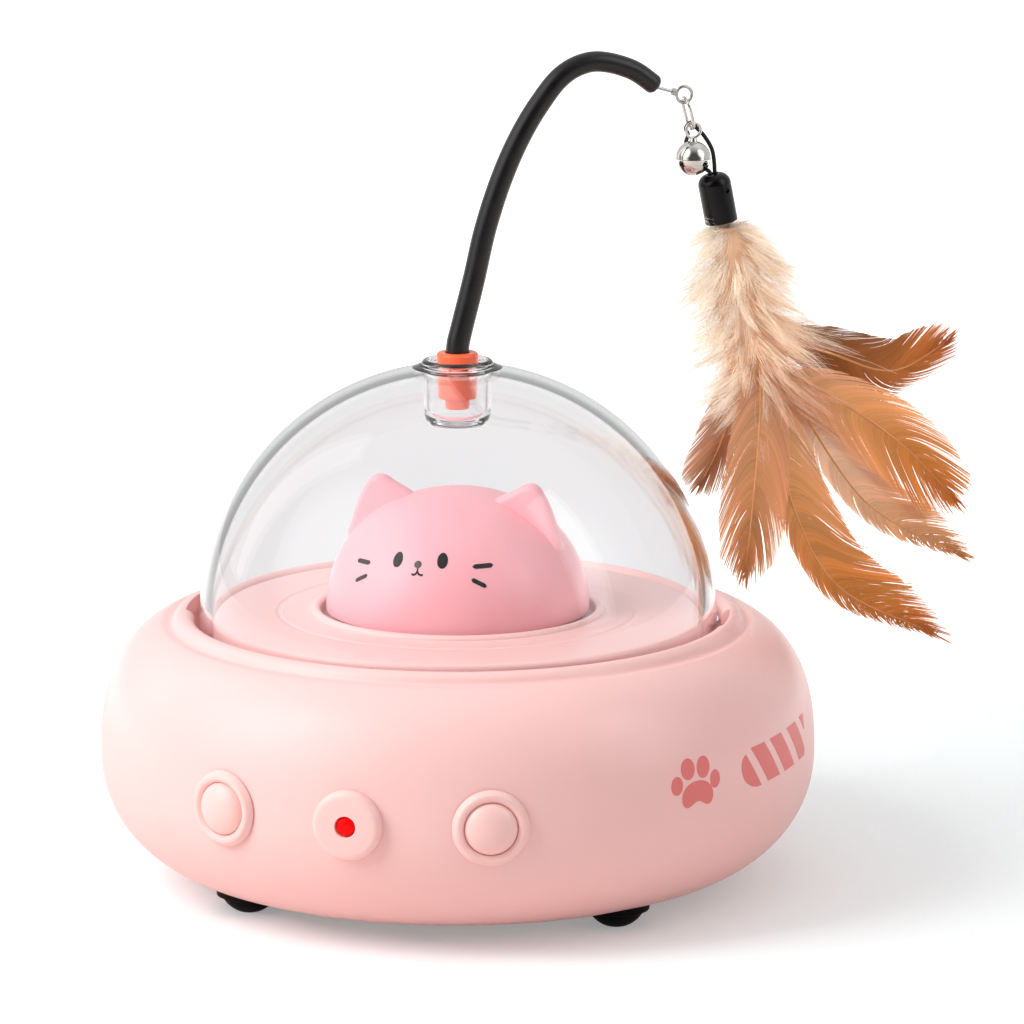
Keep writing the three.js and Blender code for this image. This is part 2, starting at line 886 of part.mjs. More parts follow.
function deckPlate() {
  const hub_radius_outer = bush_radius + seat_gap + deck_hub_wall;
  const collar_outer = collar_radius + collar_width;
  const collar_top = deck_height + collar_height;
  const plate = revolve(
    [
      [bush_radius + seat_gap, deck_hub_underside],
      [hub_radius_outer, deck_hub_underside],
      [hub_radius_outer, deck_underside],
      [deck_radius - deck_skirt_wall, deck_underside],
      [deck_radius - deck_skirt_wall, channel_floor + seat_gap],
      [deck_radius, channel_floor + seat_gap],
      ...arc(
        deck_radius - deck_edge_round,
        deck_height - deck_edge_round,
        deck_edge_round,
        0,
        Math.PI / 2,
        2,
      ),
      [step_radius + step_width, deck_height],
      [step_radius + step_width / 2, deck_height - step_depth],
      [step_radius, deck_height],
      [collar_outer, deck_height],
      ...arc(
        (collar_radius + collar_outer) / 2,
        collar_top - collar_width / 2,
        collar_width / 2,
        0,
        Math.PI,
        4,
      ),
      [collar_radius, deck_height],
      [bush_radius + seat_gap, deck_height],
    ],
    body_sides,
  );
  const posts = framePostPlaces().map(([x, y]) =>
    moved(
      cut(
        drum(frame_post_radius, frame_top + seat_gap, deck_underside + deck_wall / 2, small_sides),
        drum(screw_radius + seat_gap, frame_top, frame_top + screw_bite, small_sides),
      ),
      x,
      y,
      0,
    ),
  );
  return join(plate, ...posts);
}

function framePostPlaces() {
  return Array.from({ length: frame_post_count }, (_, i) => {
    const angle = frame_post_phase + (i * 2 * Math.PI) / frame_post_count;
    return [frame_post_circle * Math.cos(angle), frame_post_circle * Math.sin(angle)];
  });
}

// The dome: a thick half ball with a short skirt and two lugs, open at the top for the cup
function clearDome() {
  const mouth = cup_radius + seat_gap;
  const outer_start = Math.acos(mouth / dome_radius);
  const inner_start = Math.acos(mouth / dome_inner_radius);
  const skirt_base = channel_floor + seat_gap;
  const shell = revolve(
    [
      ...arc(0, dome_centre_height, dome_radius, outer_start, 0, 8),
      [dome_radius, skirt_base],
      [dome_inner_radius, skirt_base],
      ...arc(0, dome_centre_height, dome_inner_radius, 0, inner_start, 8),
    ],
    body_sides,
  );
  const lugs = notch_bearings.map((bearing) =>
    sector(
      dome_radius - dome_wall / 2,
      dome_radius + lug_reach,
      bearing + lock_turn,
      lug_span,
      lug_top - lug_height,
      lug_top,
      3,
    ),
  );
  return join(shell, ...lugs);
}

function wandCup() {
  const bottom = cup_floor_top - cup_floor;
  const onDome = (radius) =>
    dome_centre_height + Math.sqrt(dome_radius ** 2 - radius ** 2) + seat_gap;
  const flange_tip = cup_flange_radius - cup_flange_wall / 2;
  const rim_middle = (cup_rim_radius + cup_inner_radius) / 2;
  const rim_round = (cup_rim_radius - cup_inner_radius) / 2;
  return revolve(
    [
      [0, bottom],
      ...arc(cup_radius - cup_round, bottom + cup_round, cup_round, -Math.PI / 2, 0, 3),
      [cup_radius, onDome(cup_radius)],
      [flange_tip, onDome(flange_tip)],
      [cup_flange_radius, onDome(flange_tip) + cup_flange_wall / 2],
      [flange_tip, onDome(flange_tip) + cup_flange_wall],
      [cup_rim_radius, onDome(cup_rim_radius) + cup_flange_wall],
      ...arc(rim_middle, cup_rim_top - rim_round, rim_round, 0, Math.PI, 4),
      ...arc(
        cup_inner_radius - cup_round * 0.8,
        cup_floor_top + cup_round * 0.8,
        cup_round * 0.8,
        0,
        -Math.PI / 2,
        3,
      ),
      [0, cup_floor_top],
    ],
    cup_sides,
  );
}

function wandPlug() {
  const body_round = plug_radius / 5;
  const flange_round = plug_flange_height / 2;
  const flange_middle = plug_flange_base + flange_round;
  const socket_base = plug_top - rod_socket;
  const body = revolve([
    [0, plug_base - plug_nib_length],
    ...arc(
      plug_nib_radius - body_round,
      plug_base - plug_nib_length + body_round,
      body_round,
      -Math.PI / 2,
      0,
      2,
    ),
    [plug_nib_radius, plug_base],
    ...arc(plug_radius - body_round, plug_base + body_round, body_round, -Math.PI / 2, 0, 2),
    [plug_radius, grip_base - seat_gap],
    [plug_neck_radius, grip_base - seat_gap],
    [plug_neck_radius, plug_flange_base],
    ...arc(0, 0, 1, -Math.PI / 2, Math.PI / 2, 5).map(([across, up]) => [
      plug_neck_radius + plug_flange_step * (2 * across - 1),
      flange_middle + flange_round * up,
    ]),
    [0, plug_top],
  ]);
  return cut(body, drum(plug_bore, socket_base, plug_top + overrun));
}

// Everything on the wand lies in one upright plane: X outwards along its bearing, Z up
const wand = new THREE.Group();
wand.rotation.z = wand_bearing - Math.PI / 2;
toy.add(wand);
const cap_run = cap_length * Math.sin(cap_lean);
const teaser_root = { x: dome_radius + teaser_outset, z: 0 };
const link_run = link_length * Math.sin(link_lean);
const wire_run = wire_lead + eye_radius;
const wand_reach = teaser_root.x - cap_run - loop_lean - link_run - wire_run;
const rod_base = plug_top - rod_socket + seat_gap;

const rodPoint = ([across, up]) =>
  new THREE.Vector3(across * wand_reach, 0, plug_top + up * wand_rise);
const rod_curve = new THREE.CatmullRomCurve3([
  new THREE.Vector3(0, 0, rod_base),
  ...rod_route_shares.map(rodPoint),
]);
const rod_end = rodPoint(rod_route_shares.at(-1));
const eye_centre = new THREE.Vector3(rod_end.x + wire_run, 0, rod_end.z - wire_drop);
const link_top = new THREE.Vector3(
  eye_centre.x,
  0,
  eye_centre.z - eye_radius + wire_radius + link_radius + seat_gap,
);
const link_bottom = new THREE.Vector3(
  link_top.x + link_run,
  0,
  link_top.z - link_length * Math.cos(link_lean),
);
// How high a wire rests in the link's round end, off to one side
const hung = (aside, radius) =>
  link_half_width - Math.sqrt((link_room - radius) ** 2 - aside ** 2);
const loop_top = link_bottom.z + hung(cord_aside, cord_radius);
const cap_top = new THREE.Vector3(link_bottom.x + loop_lean, 0, loop_top - loop_height);
const cap_bottom = new THREE.Vector3(
  cap_top.x + cap_run,
  0,
  cap_top.z - cap_length * Math.cos(cap_lean),
);

const teaser_drop = (cap_bottom.z - deck_height - teaser_clearance) / teaser_hang_share;

function wandRod() {
  const rounding = (share) => {
    const past = Math.max(0, share - rod_end_share) / (1 - rod_end_share);
    return Math.sqrt(1 - rod_blunt_share * past ** 2);
  };
  const radiusAt = (share) =>
    (rod_root_radius + (rod_tip_radius - rod_root_radius) * share) * rounding(share);
  return wire(rod_curve, radiusAt, rod_steps, false, rod_sides);
}

function wandWire() {
  const begin = rod_end.clone().addScaledVector(rod_curve.getTangentAt(1), seat_gap + wire_radius / 2);
  const towards = eye_centre.clone().sub(begin).normalize();
  const shank = new THREE.LineCurve3(begin, eye_centre.clone().addScaledVector(towards, -eye_radius));
  return join(wire(shank, wire_radius, 2), ringWire(eye_radius, wire_radius, eye_centre));
}

// A ring of wire in the wand's plane
function ringWire(radius, thickness, centre, steps = 14) {
  const points = Array.from({ length: steps }, (_, i) => {
    const turn = (i / steps) * 2 * Math.PI;
    return new THREE.Vector3(
      centre.x + radius * Math.cos(turn),
      centre.y,
      centre.z + radius * Math.sin(turn),
    );
  });
  return wire(new THREE.CatmullRomCurve3(points, true), thickness, steps, true);
}

// The link stands across the wand's plane and swings in the wire's eye
function snapLink() {
  const straight = link_length / 2 - link_half_width;
  const ends = [0, 1].flatMap((end) =>
    Array.from({ length: 7 }, (_, i) => {
      const turn = Math.PI * (end + i / 6);
      const shift = end ? -straight : straight;
      return new THREE.Vector3(
        0,
        link_half_width * Math.cos(turn),
        link_half_width * Math.sin(turn) + shift,
      );
    }),
  );
  const link = wire(new THREE.CatmullRomCurve3(ends, true), link_radius, 22, true);
  const middle = link_top.clone().add(link_bottom).multiplyScalar(0.5);
  return moved(tipped(link, 0, -link_lean, 0), middle.x, 0, middle.z);
}

const bell_eye = new THREE.Vector3(
  link_bottom.x,
  -bell_aside,
  link_bottom.z + hung(bell_aside, bell_eye_wire) - bell_eye_radius,
);
const bell_centre = new THREE.Vector3(
  bell_eye.x,
  -bell_aside,
  bell_eye.z - bell_eye_radius - bell_neck - bell_radius,
);

function ball(radius, sides = part_sides, steps = 6) {
  return revolve(
    Array.from({ length: steps + 1 }, (_, i) => {
      const angle = Math.PI * (i / steps - 0.5);
      return [i % steps ? radius * Math.cos(angle) : 0, radius * Math.sin(angle)];
    }),
    sides,
  );
}

// A jingle bell: a thin ball with crossed slots in its lower half and a wire eye on top
function bell() {
  const slot_top = -bell_radius * 0.25;
  const slot = block(bell_slot, 3 * bell_radius, -2 * bell_radius, slot_top);
  const shell = cut(ball(bell_radius), ball(bell_radius - bell_wall), slot, tipped(slot, 0, 0, Math.PI / 2));
  const neck = drum(bell_neck, bell_radius - bell_wall / 2, bell_radius + bell_neck, small_sides);
  const turned = tipped(join(shell, neck), 0, 0, bell_turn);
  const placed = moved(turned, bell_centre.x, bell_centre.y, bell_centre.z);
  return join(placed, ringWire(bell_eye_radius, bell_eye_wire, bell_eye));
}

function bellPellet() {
  const drop = bell_radius - bell_wall - pellet_radius - seat_gap;
  return moved(ball(pellet_radius, small_sides, 4), bell_centre.x, bell_centre.y, bell_centre.z - drop);
}

// A place in the cap: across it in the wand's plane, and down its axis
function inCap(across, down) {
  return new THREE.Vector3(
    cap_top.x + across * Math.cos(cap_lean) + down * Math.sin(cap_lean),
    0,
    cap_top.z + across * Math.sin(cap_lean) - down * Math.cos(cap_lean),
  );
}

// The elastic loop: up behind the bell, over the link's round end and down to the cap again.
// Shares of the loop's lean, bulge and height.
const loop_legs = cord_radius + seat_gap / 2;
const loop_rise_shares = [
  [0.46, 0.74, 0.87],
  [-0.08, 1, 0.67],
  [-0.27, 0.77, 0.45],
  [-0.31, 0.32, 0.26],
];
const loop_fall_shares = [
  [0.55, 0.05, 0.24],
  [0.96, 0, 0.53],
  [1.08, 0, 0.8],
];

function teaserLoop() {
  const at = ([across, back, down]) =>
    new THREE.Vector3(
      link_bottom.x + across * loop_lean,
      back * loop_bulge,
      loop_top - down * loop_height,
    );
  const side = link_radius + cord_radius + 1.3 * seat_gap;
  const crown = [-side, 0, side].map(
    (across) => new THREE.Vector3(link_bottom.x + across, cord_aside, loop_top - Math.abs(across)),
  );
  const foot_depth = loop_bore_depth - seat_gap;
  const curve = new THREE.CatmullRomCurve3([
    inCap(-loop_legs, foot_depth),
    inCap(-loop_legs, foot_depth / 2),
    inCap(-loop_legs, -cord_radius),
    ...loop_rise_shares.map(at),
    ...crown,
    ...loop_fall_shares.map(at),
    inCap(loop_legs, -cord_radius),
    inCap(loop_legs, foot_depth / 2),
    inCap(loop_legs, foot_depth),
  ]);
  return wire(curve, cord_radius, loop_steps);
}

function teaserCap() {
  const shoulder = cap_radius * 0.62;
  const body = revolve([
    [0, -cap_length],
    [cap_radius, -cap_length],
    [cap_radius, -cap_length / 2],
    ...arc(cap_radius * 0.95 - shoulder, -shoulder, shoulder, 0, Math.PI / 2, 4),
    [0, 0],
  ]);
  const bore = drum(2 * cord_radius + 2 * seat_gap, -loop_bore_depth, overrun, small_sides);
  const socket = drum(
    cap_radius - cap_wall,
    -cap_length - overrun,
    cap_socket_depth - cap_length,
    small_sides,
  );
  return moved(tipped(cut(body, bore, socket), 0, -cap_lean, 0), cap_top.x, 0, cap_top.z);
}

// Down fluff: it swells below the cap and closes where the feathers leave it.
// Each row is the drop and the shift in lengths of the fluff, and the half width in its reach.
const fluff_shares = [
  [0.02, 0.005, 0.22],
  [0.095, 0.02, 0.45],
  [0.22, 0.055, 0.6],
  [0.4, 0.118, 0.73],
  [0.63, 0.23, 0.98],
  [0.85, 0.22, 0.73],
  [1, 0.2, 0.26],
];

function fluff(margin = 0) {
  const neck = cap_radius - cap_wall - seat_gap + margin;
  const oval = (centre, half) =>
    Array.from({ length: part_sides }, (_, j) => {
      const turn = (j / part_sides) * 2 * Math.PI;
      return new THREE.Vector3(
        centre.x + half * Math.cos(turn),
        half * fluff_flatness_share * Math.sin(turn),
        centre.z,
      );
    });
  const neck_top = inCap(0, cap_length - cap_socket_depth + 2 * seat_gap);
  const neck_base = inCap(0, cap_length + 2 * seat_gap);
  const rings = fluff_shares.map(([down, shift, half]) =>
    oval(
      new THREE.Vector3(
        cap_bottom.x + shift * fluff_length,
        0,
        cap_bottom.z - down * fluff_length - 3 * seat_gap - (down === 1 ? margin : 0),
      ),
      half * fluff_reach + margin,
    ),
  );
  return loft([oval(neck_top, neck * 0.8), oval(neck_base, neck * 0.9), ...rings]);
}

// The six feathers, root first: their routes in shares of the teaser's spread and drop, their
// widths in shares of the widest, and how far behind the wand's plane root and tip lie.
const feather_shares = [
  {
    route: [[0.212, 0.262], [0.429, 0.312], [0.673, 0.365], [0.908, 0.309]],
    width: 0.903,
    layers: [0.5625, 1],
  },
  {
    route: [[0.241, 0.347], [0.395, 0.407], [0.694, 0.526], [0.956, 0.685]],
    width: 0.839,
    layers: [-0.125, -0.375],
  },
  {
    route: [[0.155, 0.328], [0.278, 0.409], [0.587, 0.66], [1, 0.825]],
    width: 0.581,
    layers: [0.225, 0.3125],
  },
  {
    route: [[0.112, 0.319], [0.162, 0.412], [0.271, 0.657], [0.439, 0.827], [0.892, 1]],
    width: 0.742,
    layers: [-0.5, -0.5625],
  },
  {
    route: [[0.105, 0.3], [0.093, 0.416], [0.075, 0.616], [0.065, teaser_hang_share]],
    width: 1,
    layers: [-0.875, -0.75],
  },
  {
    route: [[0.069, 0.338], [0.036, 0.421], [-0.0545, 0.497], [-0.11, 0.59]],
    width: 0.516,
    layers: [0.5625, 0.75],
  },
];
const feather_width_shares = [0.12, 0.4, 0.66, 0.86, 0.97, 1, 0.94, 0.8, 0.56, 0.16];

function feather({ route, width, layers }) {
  const layerAt = (share) => (layers[0] + (layers[1] - layers[0]) * share) * feather_layer;
  const curve = new THREE.CatmullRomCurve3(
    route.map(
      ([across, down], i) =>
        new THREE.Vector3(
          cap_bottom.x + across * teaser_spread,
          layerAt(i / (route.length - 1)),
          cap_bottom.z - down * teaser_drop,
        ),
    ),
  );
  const rings = Array.from({ length: feather_steps + 1 }, (_, i) => {
    const share = i / feather_steps;
    const place = share * (feather_width_shares.length - 1);
    const low = Math.min(Math.floor(place), feather_width_shares.length - 2);
    const between = place - low;
    const half =
      ((width * feather_width) / 2) *
      (feather_width_shares[low] * (1 - between) + feather_width_shares[low + 1] * between);
    const centre = curve.getPointAt(share);
    const along = curve.getTangentAt(share);
    const side = new THREE.Vector3(-along.z, 0, along.x).normalize();
    // The vane is bowed: its edges lie a little behind its quill
    const section = [
      [1, 0],
      [0.5, 1],
      [-0.5, 1],
      [-1, 0],
      [-0.5, -1],
      [0.5, -1],
    ];
    return section.map(([across, face]) =>
      centre
        .clone()
        .addScaledVector(side, across * half)
        .add(new THREE.Vector3(0, feather_camber * across ** 2 + (face * feather_thickness) / 2, 0)),
    );
  });
  return loft(rings);
}

// Cat head: a thin moulded dome with two ears
function catHead() {
  const skin = (radius, height, low) =>
    revolve(
      [
        [0, low],
        ...Array.from({ length: head_steps }, (_, i) => {
          const angle = ((i / head_steps) * Math.PI) / 2;
          return [
            radius * Math.cos(angle) ** (2 / head_fullness),
            head_base + height * Math.sin(angle) ** (2 / head_fullness),
          ];
        }).map(([r, z], i) => (i === 0 ? [r, low] : [r, z])),
        [0, head_base + height],
      ],
      head_sides,
    );
  const ear = (side) =>
    moved(
      tipped(
        slab(
          outline(ear_points_shares.map(([x, z]) => [side * x * head_radius, z * head_height])),
          -ear_thickness / 2,
          ear_thickness / 2,
          ear_edge_round,
        ),
        Math.PI / 2,
        0,
        0,
      ),
      0,
      ear_setback,
      head_base,
    );
  const outer = join(skin(head_radius, head_height, head_base), ear(-1), ear(1));
  const inner = skin(head_radius - head_wall, head_height - head_wall, head_base - overrun);
  const nose_bore = tipped(
    drum(nose_radius + seat_gap, 0, head_radius + overrun, small_sides),
    Math.PI / 2,
    0,
    0,
  );
  return cut(outer, inner, moved(nose_bore, 0, 0, head_base + nose_height));
}

// How far out the head's skin lies at a height, less a depth into it
function headSkin(height, depth = 0) {
  const share = height / (head_height - depth);
  return (head_radius - depth) * (1 - share ** head_fullness) ** (1 / head_fullness);
}

function noseWindow() {
  const front = headSkin(nose_height);
  const back = headSkin(nose_height, head_wall) - seat_gap;
  const glass = drum(nose_radius, back, front, small_sides);
  return moved(tipped(glass, Math.PI / 2, 0, 0), 0, 0, head_base + nose_height);
}

function laserModule() {
  const barrel = revolve([
    [0, 0],
    [laser_radius, 0],
    [laser_radius, laser_length - laser_tip_length],
    [laser_tip_radius, laser_length - laser_tip_length],
    [laser_tip_radius, laser_length],
    [0, laser_length],
  ]);
  const back = moved(tipped(barrel, Math.PI / 2 + laser_tilt, 0, 0), 0, laser_length - laser_front, 0);
  return moved(back, 0, 0, head_base + nose_height + laser_front * Math.sin(laser_tilt) * 0.5);
}

function headTurntable() {
  const radius = headSkin(turntable_top - head_base, head_wall) - 2 * seat_gap;
  const disc = tubeRing(bush_bore, radius, turntable_base, turntable_top, head_sides);
  const hub = tubeRing(bush_bore, hub_radius, turntable_base, hub_top);
  const middle = laser_length / 2 - laser_front;
  const post = moved(
    block(2 * laser_radius + saddle_width, saddle_length, turntable_base, head_base + nose_height),
    0,
    middle - laser_radius,
    0,
  );
  const hollow = moved(
    tipped(
      drum(laser_radius + seat_gap, -laser_length, 2 * laser_length),
      Math.PI / 2 + laser_tilt,
      0,
      0,
    ),
    0,
    laser_length - laser_front,
    head_base + nose_height + laser_front * Math.sin(laser_tilt) * 0.5,
  );
  const clearing = drum(bush_bore, turntable_base - overrun, hub_top + overrun);
  return cut(join(disc, hub, post), hollow, clearing);
}

// Involute gear outline, with a tooth centred on +X
function gearOutline(teeth) {
  const pitch = (gear_module * teeth) / 2;
  const base = pitch * Math.cos(pressure_angle);
  const tip = pitch + gear_module * 0.95;
  const root = pitch - gear_module * 1.25;
  const involute = (angle) => Math.tan(angle) - angle;
  const halfTooth = (radius) =>
    Math.PI / (2 * teeth) -
    backlash / (2 * pitch) / 2 +
    involute(pressure_angle) -
    involute(Math.acos(Math.min(1, base / radius)));
  const flank = [pitch, tip].map((radius) => [radius, halfTooth(radius)]);
  const rising = [[root, halfTooth(Math.max(base, root)) * 1.12], ...flank];
  const points = [];
  for (let tooth = 0; tooth < teeth; tooth++) {
    const middle = (tooth * 2 * Math.PI) / teeth;
    const up = rising.map(([r, half]) => [r, middle - half]);
    const down = rising.toReversed().map(([r, half]) => [r, middle + half]);
    points.push(...[...up, ...down].map(([r, angle]) => [r * Math.cos(angle), r * Math.sin(angle)]));
  }
  return outline(points);
}

function headGear() {
  const pitch = (gear_module * head_gear_teeth) / 2;
  const teeth = slab(gearOutline(head_gear_teeth), gear_base, gear_top);
  const dish = tubeRing(
    gear_hub_radius,
    pitch - gear_rim,
    gear_top - gear_dish,
    gear_top + overrun,
    head_sides,
  );
  return cut(teeth, dish, drum(bush_bore, gear_base - overrun, gear_top + overrun));
}

function drivePinion() {
  const low = gear_base - gear_gap / 2;
  const teeth = tipped(
    slab(gearOutline(pinion_teeth), low, gear_top + pinion_extra),
    0,
    0,
    Math.PI / pinion_teeth,
  );
  const bore = drum(
    motor_shaft_radius + seat_gap,
    low - overrun,
    gear_top + pinion_extra + overrun,
    small_sides,
  );
  return moved(cut(teeth, bore), -gear_centres, 0, 0);
}

const motor_top = frame_base - seat_gap;

function motorShaft() {
  return moved(
    drum(motor_shaft_radius, motor_top - 3 * frame_wall, gear_top + pinion_extra, small_sides),
    -gear_centres,
    0,
    0,
  );
}

function gearMotor() {
  const can = drum(motor_radius, motor_top - motor_length, motor_top).intersect(
    block(2 * motor_radius + overrun, 2 * motor_flat, motor_top - motor_length, motor_top),
  );
  const nose = drum(2 * motor_shaft_radius, motor_top - overrun, motor_top + frame_wall, small_sides);
  const bore = drum(
    motor_shaft_radius + seat_gap,
    motor_top - 3 * frame_wall - seat_gap,
    motor_top + frame_wall + overrun,
    small_sides,
  );
  return moved(cut(join(can, nose), bore), -gear_centres, 0, 0);
}

function gearFrame() {
  const shape = new THREE.Shape();
  const places = framePostPlaces();
  places.forEach(([x, y], i) => {
    const middle = Math.atan2(y, x);
    const reach = Math.PI / frame_post_count;
    shape.absarc(x, y, frame_corner_radius, middle - reach, middle + reach);
    if (i === places.length - 1) shape.closePath();
  });
  const lobe = moved(drum(motor_radius, frame_base, frame_top), -gear_centres, 0, 0);
  const plate = join(slab(shape, frame_base, frame_top), lobe);
  const through = (radius, x, y, sides) =>
    moved(drum(radius, frame_base - overrun, frame_top + overrun, sides), x, y, 0);
  return cut(
    plate,
    through(bush_radius + seat_gap, 0, 0),
    through(2 * motor_shaft_radius + seat_gap, -gear_centres, 0),
    ...places.map(([x, y]) => through(screw_radius + seat_gap, x, y, small_sides)),
  );
}

function bush(low, high, flange_side) {
  const flange = flange_side > 0 ? high : low;
  const flange_low = flange_side > 0 ? flange + seat_gap : flange - bush_flange_height - seat_gap;
  const sleeve = tubeRing(
    bush_bore,
    bush_radius,
    Math.min(low, flange_low),
    Math.max(high, flange_low + bush_flange_height),
    rod_sides,
  );
  const flange_high = flange_low + bush_flange_height;
  return join(sleeve, tubeRing(bush_bore, bush_radius + bush_flange, flange_low, flange_high, rod_sides));
}

const slip_ring_top = frame_base - gear_gap;
const slip_ring_base = slip_ring_top - slip_ring_length;

function headSpindle() {
  return tubeRing(wire_bore_radius, spindle_radius, slip_ring_base - spindle_end, hub_top - spindle_end);
}

function slipRing() {
  const pitch = slip_ring_length / slip_ring_tracks;
  const tracks = Array.from({ length: slip_ring_tracks }, (_, i) => {
    const low = slip_ring_base + i * pitch;
    return [
      [slip_ring_radius, low],
      [slip_ring_radius, low + pitch - 2 * slip_ring_groove],
      [slip_ring_radius - slip_ring_groove, low + pitch - 2 * slip_ring_groove],
      [slip_ring_radius - slip_ring_groove, low + pitch],
    ];
  }).flat();
  return revolve([[bush_bore, slip_ring_base], ...tracks, [bush_bore, slip_ring_top]], rod_sides);
}

function brushBlock() {
  const top = frame_base - seat_gap;
  const near = slip_ring_radius + brush_gap;
  const body = moved(
    block(brush_width, brush_width / 2, top - brush_length, top),
    0,
    near + brush_width / 4,
    0,
  );
  const pitch = slip_ring_length / slip_ring_tracks;
  const fingers = Array.from({ length: slip_ring_tracks }, (_, i) => {
    const middle = slip_ring_base + i * pitch + (pitch - 2 * slip_ring_groove) / 2;
    const reach = near - slip_ring_radius - seat_gap + overrun / 2;
    return moved(
      block(1.6 * slip_ring_groove, reach, middle - slip_ring_groove / 2, middle + slip_ring_groove / 2),
      0,
      slip_ring_radius + seat_gap + reach / 2,
      0,
    );
  });
  return join(body, ...fingers);
}

// Cell in its tray, laid across the front half
function batteryCell() {
  const half = cell_length / 2;
  const body = revolve([
    [0, -half],
    ...arc(cell_radius - cell_round, cell_round - half, cell_round, -Math.PI / 2, 0, 2),
    ...arc(cell_radius - cell_round, half - cell_round, cell_round, 0, Math.PI / 2, 2),
    [cell_nub_radius, half],
    [cell_nub_radius, half + cell_nub_length],
    [0, half + cell_nub_length],
  ]);
  return moved(tipped(body, 0, Math.PI / 2, 0), 0, -tray_forward, cell_height);
}

function batteryTray() {
  const inner_length = cell_length + cell_nub_length + 2 * seat_gap;
  const outer = block(
    inner_length + 2 * tray_wall,
    2 * (cell_radius + tray_wall),
    tray_base,
    cell_height + cell_radius / 3,
  );
  const hollow = moved(
    tipped(
      drum(cell_radius + seat_gap, -inner_length / 2, inner_length / 2, head_sides),
      0,
      Math.PI / 2,
      0,
    ),
    0,
    0,
    cell_height,
  );
  const mouth = block(inner_length, 2 * (cell_radius + seat_gap), cell_height, cell_height + cell_radius);
  return moved(cut(outer, hollow, mouth), cell_nub_length / 2, -tray_forward, 0);
}

function inletBoardHeight() {
  return inlet_axis_height - inlet_height / 2 - seat_gap;
}

function boardBackEdge() {
  return sideRadius(inletBoardHeight() - board_wall) - shell_wall - board_gap;
}

// The board's posts stand clear of the pillars at both sides
function boardPostSpread() {
  const pillar_place = Math.abs(spot(screw_circle, screw_bearings[2])[0]);
  return pillar_place + pillar_radius + board_post_gap + board_post_radius;
}

function boardPostPlaces() {
  const edge = boardBackEdge();
  const spread = boardPostSpread();
  return [
    [spread, edge - board_depth + 2 * board_post_radius],
    [-spread, edge - board_depth + 2 * board_post_radius],
    [spread, edge - board_depth / 2],
    [-spread, edge - board_depth / 2],
  ];
}

function controlBoard() {
  const top = inletBoardHeight();
  const edge = boardBackEdge();
  const board_width = 2 * (boardPostSpread() + 2 * board_post_radius);
  const board = moved(block(board_width, board_depth, top - board_wall, top), 0, edge - board_depth / 2, 0);
  const [x, y] = spot(screw_circle, screw_bearings[2]);
  const round_pillar = moved(drum(pillar_radius + 2 * seat_gap, 0, channel_floor), x, y, 0);
  const chip = moved(
    block(chip_size, chip_size, top - board_wall / 2, top + chip_height),
    board_width / 4,
    edge - board_depth / 2,
    0,
  );
  return join(cut(board.intersect(drum(edge, 0, channel_floor, body_sides)), round_pillar), chip);
}

function chargeInlet() {
  const mouth = inletMouth();
  const shell = inletOutline(inlet_width, inlet_height, mouth - inlet_depth, mouth);
  const hollow = inletOutline(
    inlet_width - 2 * inlet_metal,
    inlet_height - 2 * inlet_metal,
    mouth - inlet_depth + overrun,
    mouth + overrun,
  );
  const tongue = block(
    inlet_width - inlet_height,
    inlet_tongue,
    mouth - inlet_depth + overrun / 2,
    mouth - inlet_tongue_set,
  );
  return facing(join(cut(shell, hollow), tongue), inlet_bearing, body_radius, inlet_axis_height);
}

// Buttons are built about Z with the casing's surface at 0 and outwards up
function domedButton() {
  return revolve(
    [
      [0, stem_tip],
      [stem_radius, stem_tip],
      [stem_radius, retainer_face - retainer_wall],
      [button_radius + retainer_reach, retainer_face - retainer_wall],
      [button_radius + retainer_reach, retainer_face],
      [button_radius, retainer_face],
      [button_radius, button_stand],
      ...[0.3, 0.55, 0.8].map((share) => [
        button_radius * Math.cos((share * Math.PI) / 2),
        button_stand + button_bulge * Math.sin((share * Math.PI) / 2),
      ]),
      [0, button_stand + button_bulge],
    ],
    part_sides,
  );
}

function buttonBezel() {
  const round = (bezel_radius - bezel_bore) / 2;
  return revolve(
    [
      [bezel_bore, retainer_face + seat_gap],
      [bezel_bore + bezel_sleeve, retainer_face + seat_gap],
      [bezel_bore + bezel_sleeve, seat_gap - bezel_seat_depth],
      [bezel_radius, seat_gap - bezel_seat_depth],
      ...arc(bezel_bore + round, bezel_stand, round, 0, Math.PI, 4),
    ],
    part_sides,
  );
}

function powerButton() {
  const lens_bore = lens_radius + seat_gap;
  const seat = -boss_stand;
  return revolve(
    [
      [0, stem_tip],
      [stem_radius, stem_tip],
      [stem_radius, retainer_face - retainer_wall],
      [boss_radius + retainer_reach, retainer_face - retainer_wall],
      [boss_radius + retainer_reach, retainer_face],
      [boss_radius, retainer_face],
      ...arc(boss_radius - boss_edge_round, boss_stand - boss_edge_round, boss_edge_round, 0, Math.PI / 2, 3),
      [lens_bore, boss_stand],
      [lens_bore, seat],
      [0, seat],
    ],
    cup_sides,
  );
}

function indicatorLens() {
  const seat = seat_gap - boss_stand;
  const rim = boss_stand - lens_recess;
  return revolve(
    [
      [0, seat],
      [lens_radius, seat],
      [lens_radius, rim],
      ...[0.35, 0.7].map((share) => [
        lens_radius * Math.cos((share * Math.PI) / 2),
        rim + lens_bulge * Math.sin((share * Math.PI) / 2),
      ]),
      [0, rim + lens_bulge],
    ],
    small_sides,
  );
}

function switchBoardBack() {
  return switch_tip - switch_plunger - switch_height - switch_board_wall;
}

